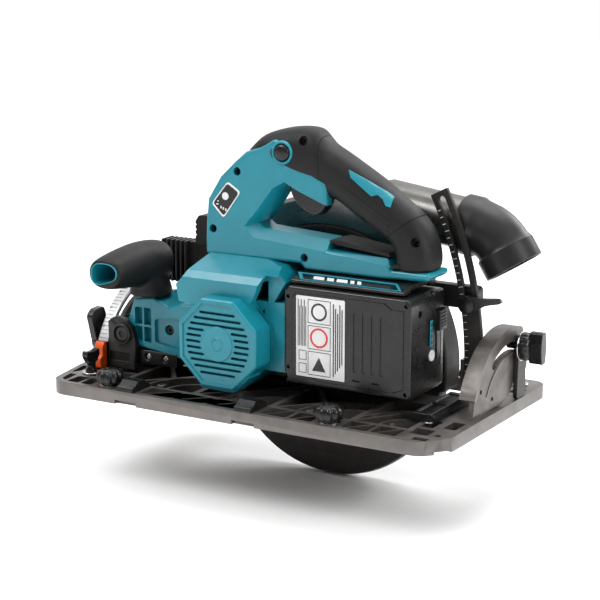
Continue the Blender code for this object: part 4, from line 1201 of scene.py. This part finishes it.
tube = swept([leaning(*row) for row in fair([
    (-86, -165.5, 114.6, 17.6, 13.4), (-80, -164.6, 115.2, 19.4, 15.6), (-64, -161.6, 116.6, 21.0, 18.4),
    (-44, -157.6, 118.2, 21.6, 20.6),
    (-30, -155.0, 118.6, 21.2, 21.0), (-17, -153.2, 118.4, 20.2, 20.2), (-13, -152.8, 118.3, 18.4, 18.4),
], 4)], power=2.3, sides=44)
stem = swept([station((x, y, z), (wide, 0, 0), (0, deep, 0)) for x, y, z, wide, deep in [
    (-152, -32, 118, 14, 18), (-151, -32, 106, 15, 18), (-150, -31, 96, 17.5, 18.5),
    (-149.5, -31, 87.4, 19, 19),
]], power=3.2, sides=40)
soft = melted(joined(tube, stem), 1.3, 16)
MOUTH = [
    (-11.8, -8.2), (-13.6, -1), (-12.6, 5), (-8, 9.2), (0, 10.4), (9, 9.4), (14.6, 5.2), (15.2, 0),
    (12, -4.6), (2, -8.6), (-6, -10),
]
LEAN_X, LEAN_Z = 0.2, 0.045


def mouth(y_low, y_high, share):
    """The D-shaped opening as a tool that leans with the grip."""
    outline = [(-166 + x * share, 114.8 + z * share) for x, z in fair(MOUTH, 4, True)]
    tool = slab("Y", y_low, y_high, outline)
    for vert in tool.verts:
        vert.co.x += (vert.co.y / MM + 86) * LEAN_X * MM
        vert.co.z += (vert.co.y / MM + 86) * LEAN_Z * MM
    return tool


soft = cut(soft, mouth(-100, -30, 1.06))
piece("front_grip_soft", soft, "saw_head", "elastomer", ["front_grip_cover"], smooth=60)
lining = soften(cut(mouth(-86.6, -28, 1.05), mouth(-90, -29.5, 0.96)), 0.3, 2, 60)
piece("front_grip_lining", lining, "saw_head", "teal_plastic", ["front_grip_core"], smooth=50)

# %% [markdown]
# The blade case is a casting turned in outline, so one profile is spun about the spindle and its lower
# part is cut off just above the sole. Radial ribs and an outer rim stiffen the thin wall.

# %% Blade case
SPINDLE = (14.0, 35.0)
CASE_RADIUS = 127.0


def about_spindle(profile, steps=96):
    """A profile of (radius, y) points turned about the spindle, which runs along y."""
    return turned(at_y(SPINDLE, 0), FAR, profile + profile[:1], steps)


def at_angle(radius, degrees):
    return on_arc(SPINDLE, radius, degrees)


case = about_spindle(
    [
        (11.5, 26), (30, 26), (31, 27.4), (96, 27.4), (98, 26), (122.5, 26), (125.5, 27), (CASE_RADIUS, 30),
        (CASE_RADIUS, 55), (123.6, 55), (123.6, 32), (120, 30), (11.5, 30),
    ]
)
ribs = []
for degrees in (22, 44, 66, 114, 136, 158):
    root, tip = Vector(at_angle(30, degrees)), Vector(at_angle(100, degrees))
    aside = (tip - root).orthogonal().normalized() * 1.1
    ribs.append(slab("Y", 26.05, 28.5, [root + aside, tip + aside, tip - aside, root - aside]))
lug = soften(slab("Y", 17.2, 27.8, rounded([(118, 100), (177, 100), (177, 121), (118, 121)], 5)), 0.8)
case = joined(case, lug, *ribs)
case = cut(
    case, block((-200, 0, -200), (200, 90, 15.2)), block((62, 31, 120), (92, 54, 190)),
    rod_across((stud_x, stud_z), 10, 40, 3.4, 24),
)
piece("blade_case_shell", soften(case, 0.5, 2, 40), "saw_head", "dark_casting", ["blade_case"], smooth=34)

fins = [
    soften(block((x, 6.2, 93), (x + 2.2, 25, 134.8)), 0.4)
    for x in (-163, -157.6, -152.2, -146.8, -141.4, -136)
]
boss = soften(block((-162, 12, 92.2), (-96.2, 27.2, 134)), 1.2)
piece("case_boss_fins", joined(boss, *fins), "saw_head", "dark_casting")

cover = about_spindle(
    [
        (34, 55.3), (126, 55.3), (126.8, 56), (126.8, 56.6), (125.4, 57.4), (98, 57.4), (97, 57.9),
        (36, 57.9), (34, 57.2),
    ]
)
cover = cut(cover, block((-200, 40, -200), (200, 90, 30.2)), block((-20, 40, 0), (48, 90, 36)))
piece(
    "case_cover_plate", soften(cover, 0.4, 2, 40), "saw_head", "dark_casting", ["blade_case_cover"],
    smooth=30,
)
COVER_BOLT = [(0, 0), (3.6, 0), (3.6, 1.6), (3, 2.3), (1.7, 2.3), (1.6, 1), (0, 1)]
bolts = [
    turned(at_y(at_angle(112, degrees), 55.5), FAR, COVER_BOLT, 20)
    for degrees in (12, 48, 84, 120, 156, 172)
]
piece("case_cover_bolts", together(*bolts), "saw_head", "screw_steel")

# %% [markdown]
# The lower guard is pressed from sheet: a dish with a rolled rim that swings about the spindle. It is
# turned like the case and then cut to its half by a wedge.

# %% Lower guard
guard = about_spindle(
    [
        (20.4, 31.2), (98, 31.2), (99.5, 31.8), (116.5, 31.8), (120, 33.2), (121.4, 36.5), (121.4, 46),
        (120, 48.2), (117.5, 48.9), (62, 48.9), (62, 47.1), (117, 47.1), (119.5, 45.5), (119.5, 37),
        (117, 33.8), (20.4, 33.2),
    ]
)
(x0, z0), (x1, z1) = at_angle(200, 183), at_angle(200, 357)
guard = cut(guard, slab("Y", 20, 60, [(x0, z0), SPINDLE, (x1, z1), (x1, 300), (x0, 300)]))
hub = about_spindle([(20.4, 30.5), (26.5, 30.5), (27, 31), (27, 33.6), (20.4, 33.6)], 48)
piece(
    "lower_guard_dish", together(soften(guard, 0.4, 2, 50), hub), "lower_guard", "dark_casting",
    ["lower_guard"], GUARD_PAINT, 34,
)

# %% [markdown]
# A framing blade has 24 carbide-tipped teeth. The body is laser-cut sheet, so the tooth backs, gullets and
# expansion slits are all in one outline, and the tips are small blocks brazed into the front of each tooth.

# %% Saw blade and its flanges
TEETH, BLADE_RADIUS = 24, 117.5
TOOTH = [
    (0.2, 1), (1.6, 1.4), (5.5, 4), (8.6, 7), (10.2, 11), (11.8, 13), (13.6, 11.5), (14.4, 8),
]  # degrees on, depth
TIP = [(-0.5, 0.1), (1.3, 0.7), (1.0, 6), (-0.4, 6)]


def on_tooth(points, tooth):
    start = 360 / TEETH * tooth
    return [at_angle(BLADE_RADIUS - depth, start + step) for step, depth in points]


outline = [point for tooth in range(TEETH) for point in on_tooth(TOOTH, tooth)]
tips = [slab("Y", 38.6, 41.4, on_tooth(TIP, tooth)) for tooth in range(TEETH)]
blade = slab("Y", 39, 41, outline)
SLIT_ANGLES = (27, 117, 207, 297)
SLIT = [(102, -0.5), (102, 0.5), (84, 0.5), (84, -0.5)]
slits = [
    slab("Y", 30, 50, [at_angle(radius, angle + step) for radius, step in SLIT])
    for angle in SLIT_ANGLES
]
slits += [rod_across(at_angle(83, angle), 30, 50, 2.4, 16) for angle in SLIT_ANGLES]
blade = cut(blade, rod_across(SPINDLE, 30, 50, 7.4), *slits)
piece("saw_blade_disc", soften(blade, 0.12, 1, 50), "blade", "steel", ["saw_blade"], smooth=30)
piece("carbide_tips", soften(together(*tips), 0.15, 1), "blade", "steel", material=PLATED)
outer = about_spindle(
    [(7.4, 41.4), (24, 41.4), (24, 43.4), (22.5, 45.2), (16, 45.2), (15, 44.2), (7.4, 44.2)], 64,
)
inner = about_spindle([(7.4, 34.4), (22.5, 34.4), (24, 36), (24, 38.6), (7.4, 38.6)], 64)
piece("flange_outer_ring", outer, "blade", "steel", ["outer_flange"])
piece("flange_inner_ring", inner, "blade", "steel", ["inner_flange"])
bolt = joined(rod_across(SPINDLE, 45.6, 47.6, 11, 40), rod_across(SPINDLE, 47.2, 53, 8.5, 6))
bolt = soften(cut(bolt, rod_across(SPINDLE, 50, 60, 4.4, 6)), 0.4, 2)
piece("blade_bolt_head", bolt, "blade", "screw_steel", ["blade_bolt"])

# %% [markdown]
# Dust leaves through a smooth duct and an elbow that swivels on its end. The duct is a turned tube with a
# block that joins it to the case. The elbow is swept round its bend with a collar at each end.

# %% Dust duct and elbow
DUCT_Y = 45.0
DUCT_START, DUCT_END = Vector((66, DUCT_Y, 184)), Vector((157, DUCT_Y, 171.5))
duct_step = (DUCT_END - DUCT_START).normalized()
duct_length = (DUCT_END - DUCT_START).length
tube = turned(
    DUCT_START, duct_step,
    [
        (0, 0), (19, 0), (23.2, 1.4), (24.4, 4.6), (24.4, duct_length - 2), (23.4, duct_length),
        (21.6, duct_length), (21.6, duct_length - 40), (0, duct_length - 40),
    ],
    72,
)
neck = soften(
    slab("Y", 28.4, 54.8, [(57, 132), (57, 172), (64, 178), (97.5, 174), (97.5, 120.5), (80, 130)]), 3, 4,
)
chamber_side = [(-61, 131), (-53, 166), (-38, 181), (0, 191), (40, 199), (70, 205), (97, 176), (97, 140)]
chamber = soften(slab("Y", 29.4, 53.8, chamber_side), 6, 5)
duct = cut(
    joined(tube, neck, chamber), rod_across(SPINDLE, 0, 80, CASE_RADIUS + 0.3, 96),
    block((64, 32, 100), (90, 51, 168)),
)
piece("dust_duct_tube", soften(duct, 0.6, 2, 50), "saw_head", "black_plastic", ["dust_duct"], DUCT_PAINT, 40)

elbow_down = Vector((duct_step.z, 0, -duct_step.x))
BEND, TURNS = 36.0, math.radians(50)
centre = DUCT_END + duct_step * 6


def elbow_run(reach):
    """The point on the elbow's line a distance past the start of its bend."""
    turned_by = min(max(reach / BEND, 0), TURNS)
    past = reach if reach < 0 else max(0, reach - BEND * TURNS)
    along = duct_step * math.cos(turned_by) + elbow_down * math.sin(turned_by)
    bend = duct_step * BEND * math.sin(turned_by) + elbow_down * BEND * (1 - math.cos(turned_by))
    return centre + bend + along * past


reaches = [(-14.8, 27.2), (-14, 27.8), (-1, 27.8), (1.2, 26.2), (6, 25.4)] + [
    (6 + 4 * step, 25.4)
    for step in range(1, 6)
]
reaches += [(30, 25.6), (32.6, 27.2), (33.2, 27.6), (50.6, 27.7), (51.4, 27.0)]
elbow = hose([elbow_run(reach) for reach, _ in reaches], [radius for _, radius in reaches], 72)
bore = hose(
    [elbow_run(reach) for reach in (-20, -1.5, -1, 4, 10, 16, 22, 28, 34, 60)],
    [25.3, 25.3, 23, 23, 23, 23, 23, 23, 24.6, 24.6], 72,
)
piece("dust_elbow_hose", cut(elbow, bore), "dust_elbow", "black_plastic", ["dust_elbow"], DUCT_PLASTIC, 32)

# %% [markdown]
# The battery is a tough black case. Its near side carries a printed plate, made here as a
# white panel with plain bars and boxes, and shallow flutes. The far side is stepped to slide past the
# depth guide. A button and four charge lights sit on the back.

# %% Battery
low_tray = slab(
    "Y", -65, -3.6,
    [
        (22, 31), (150, 31), (150.6, 36), (150.6, 117), (146, 121.8), (26, 121.8), (21.2, 117), (21.2, 42),
        (24, 36),
    ],
)
case = soften(low_tray, 2.2, 3)
face = soften(
    slab(
        "Y", -66, -60,
        [
            (30, 44), (30, 112), (36, 117), (124, 117), (132, 112), (144, 112), (144, 40), (134, 36),
            (60, 36),
        ],
    ),
    0.9, 2,
)
middle = soften(block((41.2, -20, 31.6), (150.4, 2.4, 121.4)), 3, 3)
far = soften(block((41.6, -20, 32), (128.8, 12.8, 121)), 3, 3)
case = joined(case, face, middle, far)
tools = [slab("Y", -70, -65.2, rounded([(34.4, 39), (86, 39), (86, 115), (34.4, 115)], 1.5, 3))]
tools += [soften(block((x, -70, 50), (x + 3.4, -65.1, 104)), 0.8) for x in (94, 103, 112, 121)]
tools += [
    slab("Y", -70, -64, rounded([(x, z), (x + 9, z), (x + 8, z + 1.6), (x + 2, z + 1.6)], 0.4, 2))
    for x, z in ((92, 41.5), (112, 41.5))
]
tools += [block((145, -14.4, 84), (156, 1.4, 104)), rod((148.6, -47, 106), (160, -47, 106), 3.4, sides=20)]
tools += [
    block((149.8, y, z), (156, y + 2.6, z + 0.9))
    for y, z in ((-52, 94), (-52, 90.6), (-52, 68), (-52, 64.6))
]
tools += [rod_across((x, z), -70, -62.6, 2.0, 16) for x, z in ((26, 112), (26, 46), (146, 116), (146, 36))]
tools += [
    soften(
        slab("X", 149.6, 156, rounded([(-35, 58), (-12, 58), (-12, 78), (-18, 100), (-35, 100)], 3, 4)),
        0.3,
    )
]
piece(
    "battery_shell", soften(cut(case, *tools), 0.4, 2, 40), "battery", "black_plastic", ["battery_case"],
    smooth=32,
)

panel = slab("Y", -66.4, -65.6, rounded([(35, 39.6), (85.4, 39.6), (85.4, 114.4), (35, 114.4)], 1.2, 3))
piece("battery_plate", soften(panel, 0.15, 1), "battery", "label", ["battery_label"])


def print_bar(x0, x1, z0, z1):
    return block((x0, -66.6, z0), (x1, -66.3, z1))


marks = []
for x0, x1, z0, z1 in (
    (47.5, 71, 90, 112), (47.5, 71, 66, 88), (47.5, 71, 42, 64), (38, 46, 55, 64), (38, 46, 43, 52),
):
    marks += [print_bar(x0, x1, z0, z0 + 0.5), print_bar(x0, x1, z1 - 0.5, z1)]
    marks += [print_bar(x0, x0 + 0.5, z0, z1), print_bar(x1 - 0.5, x1, z0, z1)]
for column in range(5):
    x = 2.2 * column
    marks.append(print_bar(73.5 + x, 74.5 + x, 43 + 3 * column, 110 - 4 * (column % 3)))
for column in range(6):
    x = 1.6 * column
    marks.append(print_bar(37 + x, 37.7 + x, 68, 111 - 6 * (column % 2)))
piece("battery_plate_marks", together(*marks), "battery", "label", material=DARK_PRINT)


def print_ring(z, inner, outer, steps):
    profile = [(inner, 0), (outer, 0), (outer, 0.3), (inner, 0.3), (inner, 0)]
    return turned((59, -66.3, z), NEAR, profile, steps)


triangle = soften(slab("Y", -66.6, -66.3, [(52, 46), (66, 46), (59, 59)]), 0.05, 1)
symbols = together(print_ring(101, 6.4, 8.2, 36), triangle)
piece("battery_plate_symbols", symbols, "battery", "label", material=DARK_PRINT)
piece("battery_plate_ring", print_ring(77, 7.4, 9.2, 40), "battery", "label", material=RED_PRINT)

gauge = turned(
    (149.8, -22, 63), REAR, [(0, 0.6), (2.6, 0.6), (3.2, 1.1), (4.8, 1.1), (5.2, 0.6), (5.2, 0), (0, 0)],
    32,
)
piece("charge_button", gauge, "battery", "label")
strip = soften(block((149.9, -26.4, 72), (151, -21.6, 96)), 0.6, 2)
piece("charge_strip", strip, "battery", "teal_plastic")
LIGHT_PITCH = 5.4
lights = [soften(block((150.6, -25.4, 74 + rise), (151.2, -22.6, 77.6 + rise)), 0.2, 1)
          for rise in (0, LIGHT_PITCH, 2 * LIGHT_PITCH, 3 * LIGHT_PITCH)]
piece("charge_lights", together(*lights), "battery", "black_plastic")
key_ribs = [block((153.2, -12, z), (156, -1, z + 1.2)) for z in (88, 91, 94, 97, 100)]
key = soften(cut(block((147.8, -13.8, 84.6), (153.9, 0.8, 103.4)), *key_ribs), 0.5, 2)
piece("battery_release_key", key, "battery_release", "label", ["battery_release"], FINISHES["black_plastic"])
piece("battery_stripe", soften(block((150.1, -4.6, 52), (151.2, -3.2, 82)), 0.3, 2), "battery", "steel")

# %% [markdown]
# The battery hangs from a rail frame under the handle's bar. A plate with a teal border lies on it, and
# plain light bars stand in for the printing there. A holder for the spanner is clipped to the case.

# %% Battery socket, its plate and the spanner holder
socket = soften(
    slab("X", 24.2, 139.8, [(-57.8, 122.7), (-57.8, 126), (-46, 130.9), (5.8, 130.9), (5.8, 122.7)]), 1.2,
    3,
)
socket = cut(socket, block((30, -46, 120), (150, -6, 126)))
piece("battery_socket_frame", socket, "saw_head", "black_plastic", ["battery_socket"], smooth=34)


def on_slope(points, lift, thick):
    """A flat outline of (x, share) laid on the socket's slanting near face."""
    bm = slab("Z", 0, thick, points)
    turn = Matrix.Rotation(math.atan2(4.9, 11.8), 4, "X")
    bm.transform(Matrix.Translation(Vector((0, -57.6, 126.1 + lift)) * MM) @ turn)
    return bm


frame_plate = cut(
    on_slope([(34, 1), (26, 11.4), (128, 11.4), (137, 1)], 0, 0.9),
    on_slope([(37, 2.2), (31, 10.2), (126.6, 10.2), (133.6, 2.2)], -1, 4),
)
piece("socket_plate_border", frame_plate, "saw_head", "teal_plastic")
words = [
    on_slope([(x, 3.8), (x - 1.8, 8.4), (x - 1.8 + wide, 8.4), (x + wide, 3.8)], 0.05, 0.3)
    for x, wide in ((46, 11), (60, 7), (70, 11), (84, 4), (91, 4))
]
piece("socket_plate_bars", together(*words), "saw_head", "label", material=WHITE_PRINT)
holder = soften(
    slab("Y", -12, 8, rounded([(-110, 138), (-95, 138), (-95, 166), (-106, 166), (-110, 160)], 1.5, 3)),
    1.6, 3,
)
holder = cut(holder, *[block((-120, -30, z), (-108.6, 30, z + 1.4)) for z in (146, 151, 156)])
piece("spanner_holder_clip", holder, "saw_head", "elastomer", ["spanner_holder"], smooth=36)

# %% [markdown]
# The camera stands low at the near rear corner, with a long lens. Four square lamps give the plastics
# their broad highlights. The sky is bright beyond the saw and overhead and dim on the camera's side, so
# the dark plastics keep their depth.

# %% Camera, floor and lights
CAMERA_AZIMUTH, CAMERA_ELEVATION = math.radians(30.63), math.radians(12.83)
CAMERA_TARGET, CAMERA_DISTANCE = Vector((0.010, -0.017, 0.097)), 1.681
level = math.cos(CAMERA_ELEVATION)
back = Vector(
    (math.sin(CAMERA_AZIMUTH) * level, -math.cos(CAMERA_AZIMUTH) * level, math.sin(CAMERA_ELEVATION))
)
camera = bpy.data.objects.new("camera", bpy.data.cameras.new("camera"))
camera.data.lens, camera.data.sensor_width = 108, 36
camera.location = CAMERA_TARGET + back * CAMERA_DISTANCE
camera.rotation_euler = back.to_track_quat("Z", "Y").to_euler()
bpy.context.scene.collection.objects.link(camera)
bpy.context.scene.camera = camera

FLOOR_Z = -0.0875
bm = bmesh.new()
bmesh.ops.create_grid(bm, x_segments=1, y_segments=1, size=12)
bmesh.ops.translate(bm, vec=(0, 0, FLOOR_Z), verts=bm.verts)
floor = as_object(bm)
floor.name = "floor"
paper = bpy.data.materials.new("paper")
paper.use_nodes = True
paper.node_tree.nodes["Principled BSDF"].inputs["Base Color"].default_value = (0.9, 0.9, 0.9, 1)
paper.node_tree.nodes["Principled BSDF"].inputs["Roughness"].default_value = 0.9
floor.data.materials.append(paper)

world = bpy.data.worlds.new("studio")
world.use_nodes = True
sky, sky_links = world.node_tree.nodes, world.node_tree.links
sky["Background"].inputs["Color"].default_value = (1, 1, 1, 1)
facing = sky.new("ShaderNodeVectorMath")
facing.operation = "DOT_PRODUCT"
facing.inputs[1].default_value = (-math.sin(CAMERA_AZIMUTH), math.cos(CAMERA_AZIMUTH), 0)


def sky_ramp(from_min, from_max, to_min, to_max):
    ramp = sky.new("ShaderNodeMapRange")
    limits = {"From Min": from_min, "From Max": from_max, "To Min": to_min, "To Max": to_max}
    for label, value in limits.items():
        ramp.inputs[label].default_value = value
    return ramp


fade = sky_ramp(-0.1, 0.85, 0.12, 1.0)
overhead = sky_ramp(0.3, 0.8, 0.0, 1.1)
height = sky.new("ShaderNodeSeparateXYZ")
total = sky.new("ShaderNodeMath")
direction = sky.new("ShaderNodeTexCoord").outputs["Generated"]
sky_links.new(direction, facing.inputs[0])
sky_links.new(direction, height.inputs[0])
sky_links.new(facing.outputs["Value"], fade.inputs["Value"])
sky_links.new(height.outputs["Z"], overhead.inputs["Value"])
sky_links.new(fade.outputs["Result"], total.inputs[0])
sky_links.new(overhead.outputs["Result"], total.inputs[1])
sky_links.new(total.outputs["Value"], sky["Background"].inputs["Strength"])
bpy.context.scene.world = world
LAMPS = [
    ("key", (-1.0, -1.2, 1.7), 0.9, 30), ("top", (0.2, 0.5, 1.9), 1.3, 22),
    ("right", (1.9, -0.3, 0.9), 0.7, 20), ("rim", (0.6, 1.8, 1.1), 1.0, 16),
]
for name, place, size, power in LAMPS:
    lamp = bpy.data.lights.new(name, "AREA")
    lamp.shape, lamp.size, lamp.energy = "SQUARE", size, power
    light = bpy.data.objects.new(name, lamp)
    light.location = place
    light.rotation_euler = (Vector(place) - Vector((0, 0, 0.1))).to_track_quat("Z", "Y").to_euler()
    bpy.context.scene.collection.objects.link(light)
bpy.context.scene.view_settings.view_transform = "Standard"
print("camera, floor and lights placed")
